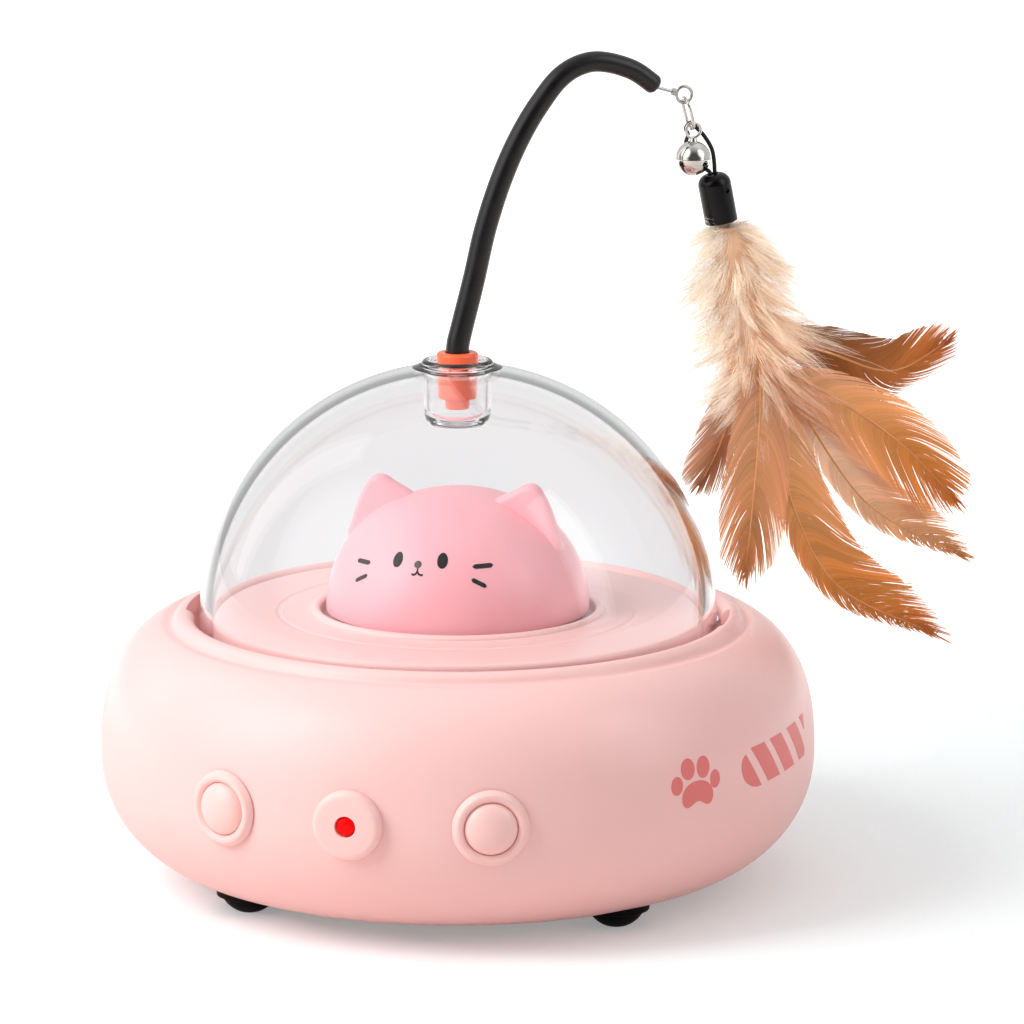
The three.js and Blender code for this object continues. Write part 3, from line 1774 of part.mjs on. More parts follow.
function tactSwitch() {
  const back = switchBoardBack();
  const front = back + switch_board_wall;
  const half = switch_size / 2;
  return join(
    block(switch_board_size, switch_board_size, back, front),
    block(switch_size, switch_size, front - switch_board_wall / 2, front + switch_height),
    drum(half / 2, front + switch_height - overrun, switch_tip, small_sides),
  );
}

// Assembly: what stands still
piece("upper_shell", upperShell(), blush);
piece("base_cover", baseCover(), blush);
piece("deck_plate", deckPlate(), blush);
foot_names.forEach((name, i) =>
  piece(name, moved(foot(), ...spot(foot_circle, foot_bearings[i])), black_rubber),
);
const cover_screw_seat = cover_boss_top - cover_wall - seat_gap;
screw_bearings.forEach((bearing, i) =>
  piece(
    `cover_screw_${i + 1}`,
    moved(screw(cover_screw_seat, cover_wall + screw_bite), ...spot(screw_circle, bearing)),
    steel,
  ),
);
framePostPlaces().forEach(([x, y], i) =>
  piece(
    `frame_screw_${i + 1}`,
    moved(screw(frame_base - seat_gap, frame_wall + screw_bite / 2), x, y, 0),
    steel,
  ),
);
piece("gear_frame", gearFrame(), acetal);
piece("lower_bush", bush(frame_base, frame_top, 1), brass);
piece("upper_bush", bush(deck_hub_underside, deck_height, 1), brass);
piece("gear_motor", gearMotor(), steel);
piece("brush_block", brushBlock(), grey_plastic);
piece("battery_tray", batteryTray(), grey_plastic);
piece("battery_cell", batteryCell(), cell_blue);
piece("control_board", controlBoard(), board_green);
piece("charge_inlet", chargeInlet(), nickel);
const button_names = ["left", "power", "right"];
button_names.forEach((name, i) => {
  const set = (part) => facing(part, button_bearings[i], button_seat, button_height);
  piece(`${name}_switch`, set(tactSwitch()), grey_plastic);
  piece(`${name}_button`, set(name === "power" ? powerButton() : domedButton()), blush);
  if (name === "power") piece("indicator_lens", set(indicatorLens()), ruby);
  else piece(`${name}_bezel`, set(buttonBezel()), blush);
});

// What turns under the dome
piece("drive_pinion", drivePinion(), acetal);
piece("motor_shaft", motorShaft(), steel);
piece("head_gear", headGear(), acetal);
piece("head_spindle", headSpindle(), steel);
piece("slip_ring", slipRing(), brass);
const head = new THREE.Group();
head.rotation.z = head_turn;
toy.add(head);
piece("head_turntable", headTurntable(), grey_plastic, head);
piece("laser_module", laserModule(), brass, head);
piece("nose_window", noseWindow(), black_rubber, head);
piece("cat_head", catHead(), rose, head);

// The dome, with the cup that takes the wand
piece("clear_dome", clearDome(), clear);
piece("wand_cup", wandCup(), clear);
piece("cup_grip_ring", tubeRing(grip_bore, cup_inner_radius - seat_gap, grip_base, grip_top), black_rubber);

// The wand
piece("wand_plug", wandPlug(), coral);
piece("wand_rod", wandRod(), black_rubber, wand);
piece("wand_wire", wandWire(), steel, wand);
piece("snap_link", snapLink(), nickel, wand);
piece("bell", bell(), nickel, wand);
piece("bell_pellet", bellPellet(), steel, wand);
piece("teaser_loop", teaserLoop(), black_rubber, wand);
piece("teaser_cap", teaserCap(), black_rubber, wand);
piece("feather_fluff", fluff(), down, wand);
const nest = fluff(1.5 * seat_gap);
feather_shares.forEach((shape, i) =>
  piece(`feather_${i + 1}`, cut(feather(shape), nest), quill_brown, wand),
);

export default toy;
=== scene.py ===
# An automatic laser toy for cats: a pink casing, a turning cat head under a clear dome,
# and a wand with a bell and feathers in a cup at the dome's top.
# Sizes are in millimetres, +Z is up and the front faces -Y. Bearings turn from the front towards +X.
import bmesh
import bpy
import math
import random
from mathutils import Matrix, Vector
from mathutils.geometry import interpolate_bezier


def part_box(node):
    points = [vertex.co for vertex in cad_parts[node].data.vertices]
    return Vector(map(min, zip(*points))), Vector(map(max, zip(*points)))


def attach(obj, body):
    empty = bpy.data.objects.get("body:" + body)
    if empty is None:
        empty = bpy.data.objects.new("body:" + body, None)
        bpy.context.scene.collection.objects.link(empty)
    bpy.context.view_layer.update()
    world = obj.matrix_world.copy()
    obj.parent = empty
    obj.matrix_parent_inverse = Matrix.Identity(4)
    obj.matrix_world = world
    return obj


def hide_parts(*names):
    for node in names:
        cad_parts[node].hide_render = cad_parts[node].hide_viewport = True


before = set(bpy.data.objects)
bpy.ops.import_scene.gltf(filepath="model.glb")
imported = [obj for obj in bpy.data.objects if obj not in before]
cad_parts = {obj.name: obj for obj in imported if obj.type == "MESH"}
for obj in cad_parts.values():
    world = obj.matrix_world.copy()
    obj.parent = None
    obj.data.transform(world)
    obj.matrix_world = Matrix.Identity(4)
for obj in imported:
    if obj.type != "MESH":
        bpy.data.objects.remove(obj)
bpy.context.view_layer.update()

# Base cover: a pink moulded plate that drops into the casing's rim and carries all that stands
# inside. Four steel screws pull it against pillars in the casing.
MM = 0.001
BLUSH = (249, 204, 202)
BLUSH_WARM = (250, 200, 196)
drift_patch, sheen_patch, moulded_grain = 22, 7, 0.5
sheen_drift, coat_roughness, bump_strength = 0.03, 0.12, 0.4
streak_patch, small_sides = 3, 96


def srgb(red, green, blue):
    """A colour as it shows, turned into the linear light that a shader takes."""
    def linear(value):
        share = value / 255
        return share / 12.92 if share <= 0.04045 else ((share + 0.055) / 1.055) ** 2.4

    return (linear(red), linear(green), linear(blue), 1.0)


def bare_material(name):
    """A new material, its node tree and its main shader."""
    material = bpy.data.materials.new(name)
    material.use_nodes = True
    return material, material.node_tree, material.node_tree.nodes["Principled BSDF"]


def fill(tree, node, inputs):
    """Gives a node's inputs their values, or joins them to the sockets that feed them."""
    for key, value in inputs.items():
        if isinstance(value, bpy.types.NodeSocket):
            tree.links.new(value, node.inputs[key])
        else:
            node.inputs[key].default_value = value


def added(tree, kind, inputs, **settings):
    """A new shader node with its settings and its inputs."""
    node = tree.nodes.new("ShaderNode" + kind)
    for name, value in settings.items():
        setattr(node, name, value)
    fill(tree, node, inputs)
    return node


def clouds(tree, patch, detail=3.0):
    """A noise whose patches are about that many millimetres wide, fixed to the piece."""
    place = added(tree, "TexCoord", {}).outputs["Object"]
    noise = added(tree, "TexNoise", {"Scale": 1 / (patch * MM), "Detail": detail, "Vector": place})
    return noise.outputs["Fac"]


def spread(tree, source, low, high, start=0.3, end=0.7):
    """The source's stretch from start to end, moved to low to high."""
    inputs = {"From Min": start, "From Max": end, "To Min": low, "To Max": high, "Value": source}
    return added(tree, "MapRange", inputs).outputs["Result"]


def two_tone(tree, source, first, second):
    """A colour between two, by the source."""
    inputs = {"A": srgb(*first), "B": srgb(*second), "Factor": source}
    return added(tree, "Mix", inputs, data_type="RGBA").outputs["Result"]


def grained(tree, shader, grain, depth):
    """Fine unevenness of a moulded or cast skin."""
    inputs = {"Strength": bump_strength, "Distance": depth * MM, "Height": clouds(tree, grain, 2.0)}
    fill(tree, shader, {"Normal": added(tree, "Bump", inputs).outputs["Normal"]})


def moulded_plastic(name, colour, second, roughness, gloss=0.0, depth=0.012):
    """Satin moulded plastic: slow drift of colour and gloss, and a fine grain."""
    material, tree, shader = bare_material(name)
    sheen = clouds(tree, sheen_patch)
    fill(tree, shader, {
        "Base Color": two_tone(tree, clouds(tree, drift_patch), colour, second),
        "Roughness": spread(tree, sheen, roughness - sheen_drift, roughness + sheen_drift),
        "Coat Weight": gloss,
        "Coat Roughness": coat_roughness,
    })
    grained(tree, shader, moulded_grain, depth)
    return material


def worked_metal(name, colour, second, roughness):
    """Turned, drawn or plated metal, with faint streaks."""
    material, tree, shader = bare_material(name)
    streaks = clouds(tree, streak_patch)
    fill(tree, shader, {
        "Base Color": two_tone(tree, streaks, colour, second),
        "Roughness": spread(tree, streaks, roughness * 0.7, roughness * 1.3),
        "Metallic": 1.0,
    })
    return material


def dress(material, *names):
    """Puts a material on CAD nodes that keep their own shape."""
    for name in names:
        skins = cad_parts[name].data.materials
        skins.clear()
        skins.append(material)


cover_plastic = moulded_plastic("cover plastic", BLUSH, BLUSH_WARM, 0.42)
screw_steel = worked_metal("screw steel", (176, 178, 182), (150, 152, 156), 0.3)
dress(cover_plastic, "base_cover")
dress(screw_steel, *[f"cover_screw_{i}" for i in (1, 2, 3, 4)])

# Feet: four black rubber domes on collars, pressed by their stems into pockets of the cover.
# The toy stands on their small flat soles.
foot_ball, foot_sole, foot_stand = 7.2, 2.8, 3.5
foot_collar, foot_collar_base, foot_collar_top = 7.7, 0.2, 2.3
foot_stem, foot_stem_top, foot_low_round, foot_top_round = 2.2, 5, 0.4, 0.3
dust_patch, rubber_grain, rubber_depth = 5, 0.35, 0.008


def arc(centre, radius, start, end, steps=10):
    """Points of a round stretch of a profile, angles in degrees."""
    turns = [math.radians(start + (end - start) * i / steps) for i in range(steps + 1)]
    return [(centre[0] + radius * math.cos(t), centre[1] + radius * math.sin(t)) for t in turns]


def eased(corners, steps=5):
    """A profile whose corners, where a third number gives a radius, are rounded."""
    points = []
    for i, corner in enumerate(corners):
        here = Vector(corner[:2])
        if len(corner) < 3:
            points.append(tuple(here))
            continue
        back = Vector(corners[i - 1][:2]) - here
        ahead = Vector(corners[(i + 1) % len(corners)][:2]) - here
        half = back.angle(ahead) / 2
        run = min(corner[2] / math.tan(half), 0.48 * back.length, 0.48 * ahead.length)
        start, end = here + back.normalized() * run, here + ahead.normalized() * run
        for k in range(steps + 1):
            share = k / steps
            points.append(tuple((1 - share) ** 2 * start + 2 * share * (1 - share) * here + share**2 * end))
    return points


def in_scene(name, data):
    """A new object of the scene."""
    piece = bpy.data.objects.new(name, data)
    bpy.context.scene.collection.objects.link(piece)
    return piece


def as_piece(name, mesh, material, crease=38):
    """An object from a bmesh in millimetres, smooth apart from edges sharper than the crease."""
    bmesh.ops.recalc_face_normals(mesh, faces=mesh.faces)
    bmesh.ops.scale(mesh, vec=(MM, MM, MM), verts=mesh.verts)
    data = bpy.data.meshes.new(name)
    mesh.to_mesh(data)
    mesh.free()
    data.shade_smooth()
    data.set_sharp_from_angle(angle=math.radians(crease))
    if material:
        data.materials.append(material)
    return in_scene(name, data)


def full_turn(steps):
    """The angles of so many even steps round a circle."""
    return [2 * math.pi * i / steps for i in range(steps)]


def skinned(mesh, rings):
    """Faces between each ring of corners and the next, where corners that fall together count once."""
    for near, far in zip(rings, rings[1:]):
        for i in range(len(near)):
            j = (i + 1) % len(near)
            corners = list(dict.fromkeys([near[i], near[j], far[j], far[i]]))
            if len(corners) > 2:
                mesh.faces.new(corners)


def turned(name, profile, material, sides=128):
    """A body turned about Z. Its profile of radius and height ends on the axis or closes on itself."""
    mesh = bmesh.new()
    turns = full_turn(sides)
    rings = []
    for radius, height in profile:
        if radius < 1e-6:
            rings.append([mesh.verts.new((0, 0, height))] * sides)
        else:
            rings.append([
                mesh.verts.new((radius * math.cos(t), radius * math.sin(t), height)) for t in turns
            ])
    open_ended = profile[0][0] > 1e-6 or profile[-1][0] > 1e-6
    skinned(mesh, rings + rings[:1] if open_ended else rings)
    return as_piece(name, mesh, material)


def fitted(piece, body, slot, *nodes):
    """The piece rides on a body and stands for CAD nodes, which are hidden. The slot is not used."""
    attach(piece, body)
    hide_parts(*nodes)
    return piece


def soft_black(name, colour, second, roughness, shine=0.28):
    """Black rubber, a little dusty in places."""
    material, tree, shader = bare_material(name)
    dust = clouds(tree, dust_patch, 5.0)
    fill(tree, shader, {
        "Base Color": two_tone(tree, dust, colour, second),
        "Roughness": spread(tree, dust, roughness - 0.05, roughness + 0.08),
        "Specular IOR Level": shine,
    })
    grained(tree, shader, rubber_grain, rubber_depth)
    return material


foot_rubber = soft_black("foot rubber", (6, 6, 7), (11, 11, 12), 0.5, 0.08)
ball_height = math.sqrt(foot_ball**2 - foot_sole**2) - foot_stand
lowest = math.degrees(math.asin((-foot_stand - ball_height) / foot_ball))
highest = math.degrees(math.asin((foot_collar_base - ball_height) / foot_ball))
for foot_name in ("front_left_foot", "front_right_foot", "rear_right_foot", "rear_left_foot"):
    low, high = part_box(foot_name)
    foot = turned(
        foot_name + "_rubber",
        eased(
            [(0, -foot_stand)]
            + arc((0, ball_height), foot_ball, lowest, highest, 14)
            + [
                (foot_collar, foot_collar_base, foot_low_round),
                (foot_collar, foot_collar_top, foot_top_round),
                (foot_stem, foot_collar_top),
                (foot_stem, foot_stem_top),
                (0, foot_stem_top),
            ]
        ),
        foot_rubber,
        small_sides,
    )
    foot.data.transform(Matrix.Translation(((low.x + high.x) / 2, (low.y + high.y) / 2, 0)))
    fitted(foot, "casing", "black_rubber", foot_name)

# Works inside the casing: a frame under the deck carries a geared motor and the bearings of the
# head's spindle. A cell in its tray, a circuit board and three push switches stand on the cover.
acetal = moulded_plastic("acetal", (236, 234, 228), (228, 225, 217), 0.45)
dark_plastic = moulded_plastic("dark plastic", (84, 87, 91), (74, 77, 81), 0.55)
bearing_brass = worked_metal("bearing brass", (190, 155, 90), (168, 132, 70), 0.3)
motor_steel = worked_metal("motor steel", (182, 184, 187), (158, 161, 165), 0.35)
cell_wrap = moulded_plastic("cell wrap", (52, 96, 158), (44, 84, 142), 0.3, 0.3)
board_mask = moulded_plastic("board mask", (36, 94, 62), (28, 80, 52), 0.4, 0.2)
inlet_nickel = worked_metal("inlet nickel", (202, 201, 197), (184, 183, 178), 0.22)
dress(acetal, "gear_frame", "head_gear", "drive_pinion")
dress(dark_plastic, "brush_block", "battery_tray", "left_switch", "power_switch", "right_switch")
dress(dark_plastic, "head_turntable")
dress(bearing_brass, "lower_bush", "upper_bush", "slip_ring", "laser_module")
dress(motor_steel, "gear_motor", "motor_shaft", "head_spindle")
dress(screw_steel, *[f"frame_screw_{i}" for i in (1, 2, 3)])
dress(cell_wrap, "battery_cell")
dress(board_mask, "control_board")
dress(inlet_nickel, "charge_inlet")

# Casing: one satin pink moulding, a squashed ring that swells to its widest near the buttons. A
# rounded lip runs round the dome's channel, with two notches for the dome's lugs.
casing_radius, widest_height = 84, 27.6
lower_reach, upper_reach, upper_rise = 29.3, 24.5, 32
lower_fullness, upper_fullness = 2.07, 2.46
rim_radius, shoulder_radius, casing_wall = 68.3, 69.8, 2.4
lip_inner, bead_axis, bead_height, bead = 61.9, 64.4, 57.9, 2.5
flange_under, channel_floor, track_radius, ledge_radius = 56.7, 50.5, 64.9, 53.1
notch_bearing, notch_span, notch_inner, notch_radius, notch_top = -81, 15.5, 60.8, 63.9, 62
groove_pulls, lip_start, lip_round = ((68.7, 58.2), (67.2, 57.3)), 20, 0.2
button_bearings, button_height = (-22, 0, 22), 29.2
bezel_bore, bezel_sleeve, bezel_radius, bezel_seat = 6.1, 7.0, 8.25, 1.3
boss_radius, seat_gap, cutter_reach, cut_overrun = 8.05, 0.3, 8, 1
inlet_half_width, inlet_half_height, inlet_height = 4.75, 1.9, 17
upright = Matrix.Rotation(math.pi / 2, 4, "X")


def side_quarter(reach, rise, fullness, last_radius, steps=34):
    """A rounded quarter of the casing's side, from last_radius to the widest line."""
    inset = casing_radius - reach
    start = math.acos(((last_radius - inset) / reach) ** (fullness / 2))
    turns = [start * (1 - i / steps) for i in range(steps + 1)]
    return [
        (inset + reach * math.cos(t) ** (2 / fullness),
         widest_height + rise * math.sin(t) ** (2 / fullness))
        for t in turns
    ]


def set_inwards(points, wall):
    """The same line, a wall's thickness inside."""
    inner = []
    last = len(points) - 1
    for i, (radius, height) in enumerate(points):
        along = (Vector(points[min(i + 1, last)]) - Vector(points[max(i - 1, 0)])).normalized()
        inner.append((radius - wall * along.y, height + wall * along.x))
    return inner


def on_side(piece, bearing, height=button_height):
    """Turns a piece built about Z so that Z points out of the casing's side there."""
    turn = math.radians(bearing)
    place = Vector((math.sin(turn) * casing_radius, -math.cos(turn) * casing_radius, height)) * MM
    piece.data.transform(Matrix.Translation(place) @ Matrix.Rotation(turn, 4, "Z") @ upright)
    return piece


def ring_piece(name, inner, outer, middle, span, low, high, material=None, steps=10):
    """A block bent round the toy's axis, between two bearings."""
    mesh = bmesh.new()
    rows = []
    for i in range(steps + 1):
        turn = math.radians(middle + span * (i / steps - 0.5))
        across = Vector((math.sin(turn), -math.cos(turn), 0))
        corners = [(inner, low), (outer, low), (outer, high), (inner, high)]
        rows.append([
            mesh.verts.new(across * radius + Vector((0, 0, height))) for radius, height in corners
        ])
    skinned(mesh, rows)
    mesh.faces.new(rows[0])
    mesh.faces.new(rows[-1])
    return as_piece(name, mesh, material)


def combined(piece, *others):
    """Several meshes as one piece."""
    mesh = bmesh.new()
    for part in (piece, *others):
        mesh.from_mesh(part.data)
    mesh.to_mesh(piece.data)
    mesh.free()
    for part in others:
        bpy.data.objects.remove(part)
    return piece


def as_shown(piece):
    """The mesh that a piece's curve or modifiers make."""
    shown = piece.evaluated_get(bpy.context.evaluated_depsgraph_get())
    return bpy.data.meshes.new_from_object(shown)


def shaped(piece, tool, operation, crease=38):
    """The piece with the tool's shape cut out of it, or grown onto it."""
    change = piece.modifiers.new("shape", "BOOLEAN")
    change.operation = operation
    change.solver = "EXACT"
    change.object = tool
    piece.data = data = as_shown(piece)
    piece.modifiers.clear()
    bpy.data.objects.remove(tool)
    data.shade_smooth()
    data.set_sharp_from_angle(angle=math.radians(crease))


shoulder = side_quarter(upper_reach, upper_rise, upper_fullness, shoulder_radius)
side = side_quarter(lower_reach, -widest_height, lower_fullness, rim_radius) + shoulder[::-1][1:]
lip = arc((bead_axis, bead_height), bead, lip_start, 180, 16)
groove_ease = [Vector((*point, 0)) for point in (side[-1], *groove_pulls, lip[0])]
groove = [tuple(p)[:2] for p in interpolate_bezier(*groove_ease, 12)][1:-1]
channel = [
    (lip_inner, flange_under, lip_round),
    (track_radius, flange_under),
    (track_radius, channel_floor),
    (ledge_radius, channel_floor),
    (ledge_radius, channel_floor - casing_wall),
    (track_radius + casing_wall, channel_floor - casing_wall),
    (track_radius + casing_wall, flange_under - casing_wall / 2),
]
inside = set_inwards(side, casing_wall)[::-1]
inside[-1] = (rim_radius, side[0][1] + casing_wall + seat_gap)
casing_plastic = moulded_plastic("casing plastic", BLUSH, BLUSH_WARM, 0.36, 0.12)
casing = turned("casing_shell", eased(side + groove + lip + channel + inside), casing_plastic, 320)
bezel_bed, bezel_well = bezel_sleeve + seat_gap, bezel_radius + seat_gap / 3
bezel_hole = [
    (0, -cutter_reach),
    (bezel_bed, -cutter_reach),
    (bezel_bed, -bezel_seat),
    (bezel_well, -bezel_seat),
    (bezel_well, cutter_reach),
    (0, cutter_reach),
]
boss_bore = boss_radius + seat_gap / 10
boss_hole = [(0, -cutter_reach), (boss_bore, -cutter_reach), (boss_bore, cutter_reach), (0, cutter_reach)]
left_bearing, power_bearing, right_bearing = button_bearings
holes = ((left_bearing, bezel_hole), (right_bearing, bezel_hole), (power_bearing, boss_hole))
cutters = [
    on_side(turned("button_cut", hole, None, small_sides), bearing) for bearing, hole in holes
]
inlet_cut = bmesh.new()
bmesh.ops.create_cone(inlet_cut, segments=48, radius1=inlet_half_height, radius2=inlet_half_height,
                      depth=2 * cutter_reach, cap_ends=True)
for corner in inlet_cut.verts:
    corner.co.x += math.copysign(inlet_half_width - inlet_half_height, corner.co.x)
cutters.append(on_side(as_piece("inlet_cut", inlet_cut, None), 180, inlet_height))
for turn in (0, 180):
    cutters.append(ring_piece("notch_cut", notch_inner, notch_radius, notch_bearing + turn, notch_span,
                              flange_under - cut_overrun, notch_top))
shaped(casing, combined(*cutters), "DIFFERENCE")
fitted(casing, "casing", "blush_plastic", "upper_shell")

# Printed ornaments on the casing's right side: a paw print and the bars of a striped tail, in a
# darker pink. Each is a film laid on the curved skin.
PRINT = (232, 122, 120)
PRINT_WARM = (227, 114, 112)
film, under_film, least_half, print_crease = 0.07, 0.5, 0.01, 60


def side_radius(height):
    """The casing's outer radius at a height."""
    if height < widest_height:
        share, reach, fullness = (widest_height - height) / widest_height, lower_reach, lower_fullness
    else:
        share, reach, fullness = (height - widest_height) / upper_rise, upper_reach, upper_fullness
    return casing_radius - reach + reach * (1 - share**fullness) ** (1 / fullness)


def on_skin(skin_radius, widest, across, height, lift):
    """A point over a round skin: the distance round it from its middle, and the height."""
    turn = across / widest
    slope = (skin_radius(height + 0.1) - skin_radius(height - 0.1)) / 0.2
    out = Vector((math.sin(turn), -math.cos(turn), -slope)).normalized()
    radius = skin_radius(height)
    return Vector((math.sin(turn) * radius, -math.cos(turn) * radius, height)) + out * lift


def on_casing(across, height, lift):
    """A point over the casing's side."""
    return on_skin(side_radius, casing_radius, across, height, lift)


def printed(name, rows, place, material, lift=film, columns=8):
    """A thin print between the two ends of each row, laid on a surface by place."""
    mesh = bmesh.new()
    layers = []
    for rise in (lift, -under_film):
        grid = []
        for start, end in rows:
            shares = [k / columns for k in range(columns + 1)]
            grid.append([
                mesh.verts.new(place(
                    start[0] + (end[0] - start[0]) * share, start[1] + (end[1] - start[1]) * share, rise))
                for share in shares
            ])
        layers.append(grid)
    for grid in layers:
        for near, far in zip(grid, grid[1:]):
            for k in range(columns):
                mesh.faces.new([near[k], near[k + 1], far[k + 1], far[k]])
    outlines = []
    for grid in layers:
        between_ends = grid[1:-1]
        near_side, far_side = [row[0] for row in between_ends], [row[-1] for row in between_ends]
        outlines.append(grid[0] + far_side + grid[-1][::-1] + near_side[::-1])
    skinned(mesh, outlines)
    return as_piece(name, mesh, material, print_crease)


def oval_rows(centre, half_width, half_height, lean=0.0, steps=18):
    """Rows of an oval, whose top leans by so many degrees."""
    rows = []
    along, aside = math.cos(math.radians(lean)), math.sin(math.radians(lean))
    for i in range(steps + 1):
        turn = math.pi * (i / steps)
        up = -half_height * math.cos(turn)
        half = max(half_width * math.sin(turn), least_half)
        rows.append([
            (centre[0] + out * along + up * aside, centre[1] - out * aside + up * along)
            for out in (-half, half)
        ])
    return rows


def pad_rows(centre, half_width, low, high, steps=30):
    """Rows of a paw's pad, upright ones from left to right: domed above, two lobes below."""
    rows = []
    edge, notch, lobe_place, closing_start = 0.36 * low, 0.62 * low, 0.68, 0.62
    for i in range(steps + 1):
        out = -math.cos(math.pi * i / steps)
        top = edge + (high - edge) * math.sqrt(max(1 - out**2, 0)) ** 0.85
        lobe = math.sin(math.pi / 2 * min(abs(out) / lobe_place, 1)) ** 2
        bottom = notch + (low - notch) * lobe
        closing = max(abs(out) - closing_start, 0) / (1 - closing_start)
        bottom += (edge - bottom) * (1 - math.sqrt(max(1 - closing**2, 0)))
        across = centre[0] + out * half_width
        rows.append(((across, centre[1] + min(bottom, top - least_half)), (across, centre[1] + top)))
    return rows


print_ink = moulded_plastic("print ink", PRINT, PRINT_WARM, 0.4, 0.1)
paw_across, paw_height = 83.0, 32.2
pad_shift, pad_half, pad_low, pad_high = 0.8, 4.7, -3.05, 2.86
paw_toes = [
    (-5.27, 2.46, 1.66, 2.14, 6),
    (-1.85, 5.8, 2.02, 2.44, 2),
    (2.8, 5.66, 1.98, 2.5, 8),
    (6.3, 2.4, 1.58, 2.08, 4),
]


def ornament(name, rows):
    """One film of the ornaments."""
    return printed(name, rows, on_casing, print_ink)


prints = [
    ornament(f"toe_{i}", oval_rows((paw_across + x, paw_height + z), half_width, half_height, lean))
    for i, (x, z, half_width, half_height, lean) in enumerate(paw_toes)
]
pad = pad_rows((paw_across + pad_shift, paw_height), pad_half, pad_low, pad_high)
prints.append(ornament("paw_pad", pad))
fitted(combined(*prints), "casing", "blush_plastic").name = "paw_print"

tail_half, tail_rise, bar_lean, bar_width = 4.45, 0.045, -0.72, 5.9
bar_starts, tail_middle, tail_end, tail_end_lean = (106.15, 114.7, 124.3, 133.8), 34.6, 133.1, 0.27
tip_outline = [
    (29.8, 104.3, 106.4), (30.3, 102.3, 106.06), (31.2, 100.7, 105.45), (32.1, 99.7, 104.8),
    (33.1, 99.1, 104.1), (34.1, 98.78, 103.4), (35.0, 98.67, 102.8), (35.9, 98.78, 102.13),
    (36.7, 99.1, 101.6), (37.4, 99.75, 101.1), (37.96, 100.65, 100.7),
]


def bar_rows(start, steps=16):
    """Rows of one slanted bar of the tail, cut off where the tail ends."""
    rows = []
    middle = tail_middle + tail_rise * (start - bar_starts[0])
    for i in range(steps + 1):
        up = tail_half * (2 * i / steps - 1)
        left = start + bar_lean * up
        right = min(left + bar_width, tail_end + tail_end_lean * up)
        if right > left:
            rows.append(((left, middle + up), (right, middle + up + tail_rise * (right - left))))
    return rows


tail = [ornament("tail_tip", [((left, height), (right, height)) for height, left, right in tip_outline])]
tail += [ornament(f"tail_bar_{i}", bar_rows(start)) for i, start in enumerate(bar_starts)]
fitted(combined(*tail), "casing", "blush_plastic").name = "tail_print"

# Buttons: two domed push buttons in raised rings, and a flat one between them for power, with a
# red lens over its lamp. All are moulded plastic, and their stems reach the switches inside.
button_radius, button_stand, button_bulge = 6.07, 0.1, 3.1
retainer_face, retainer_wall, retainer_reach = -4.1, 1, 1.3
stem_radius, stem_tip = 1.8, -11.3
boss_stand, boss_round, lens_radius, lens_recess, lens_bulge = 2.2, 1.9, 2.1, 0.5, 0.8
lens_well_steps = ((0.7, 0.08, 0.3), (0.35, 0.12, 0.15), (seat_gap, -0.3, 0.1))
bezel_foot, bezel_sink, bezel_draft, bezel_side = 8.75, 0.1, 0.2, 0.35
bezel_crest, bezel_crest_half, bezel_rise, bezel_mouth = 7.3, 0.5, 1.4, 0.75
bezel_rounds = (0.4, 0.9, 0.7, 0.5)


def domed(radius, base, rise, steps):
    """Points of a low dome, from its edge to its top."""
    turns = [math.pi / 2 * k / steps for k in range(steps)]
    return [(radius * math.cos(t), base + rise * math.sin(t)) for t in turns] + [(0, base + rise)]


def retained_stem(radius):
    """A stem to the switch, and the flange that keeps a button of that radius in the casing."""
    flange = radius + retainer_reach
    return [
        (0, stem_tip),
        (stem_radius, stem_tip),
        (stem_radius, retainer_face - retainer_wall),
        (flange, retainer_face - retainer_wall),
        (flange, retainer_face),
        (radius, retainer_face),
    ]


button_plastic = moulded_plastic("button plastic", (251, 208, 203), (250, 203, 197), 0.33, 0.2)
for side_name, bearing in (("left", left_bearing), ("right", right_bearing)):
    button = turned(
        side_name + "_button_cap",
        retained_stem(button_radius) + domed(button_radius, button_stand, button_bulge, 14),
        button_plastic,
    )
    fitted(on_side(button, bearing), side_name + "_key", "blush_plastic", side_name + "_button")
    bezel = turned(
        side_name + "_button_ring",
        eased([
            (bezel_bore, retainer_face + seat_gap),
            (bezel_sleeve, retainer_face + seat_gap),
            (bezel_sleeve, seat_gap - bezel_seat),
            (bezel_radius, seat_gap - bezel_seat),
            (bezel_radius, -bezel_sink),
            (bezel_foot, -bezel_sink),
            (bezel_foot - bezel_draft, bezel_side, bezel_rounds[0]),
            (bezel_crest + bezel_crest_half, bezel_rise, bezel_rounds[1]),
            (bezel_crest - bezel_crest_half, bezel_rise, bezel_rounds[2]),
            (bezel_bore, bezel_mouth, bezel_rounds[3]),
        ], 8),
        button_plastic,
    )
    fitted(on_side(bezel, bearing), "casing", "blush_plastic", side_name + "_bezel")

power_button = turned(
    "power_button_cap",
    eased(
        retained_stem(boss_radius)
        + [(boss_radius, boss_stand, boss_round)]
        + [(lens_radius + out, boss_stand + up, ease) for out, up, ease in lens_well_steps]
        + [(lens_radius + seat_gap, -boss_stand), (0, -boss_stand)],
        8,
    ),
    button_plastic,
)
fitted(on_side(power_button, power_bearing), "power_key", "blush_plastic", "power_button")

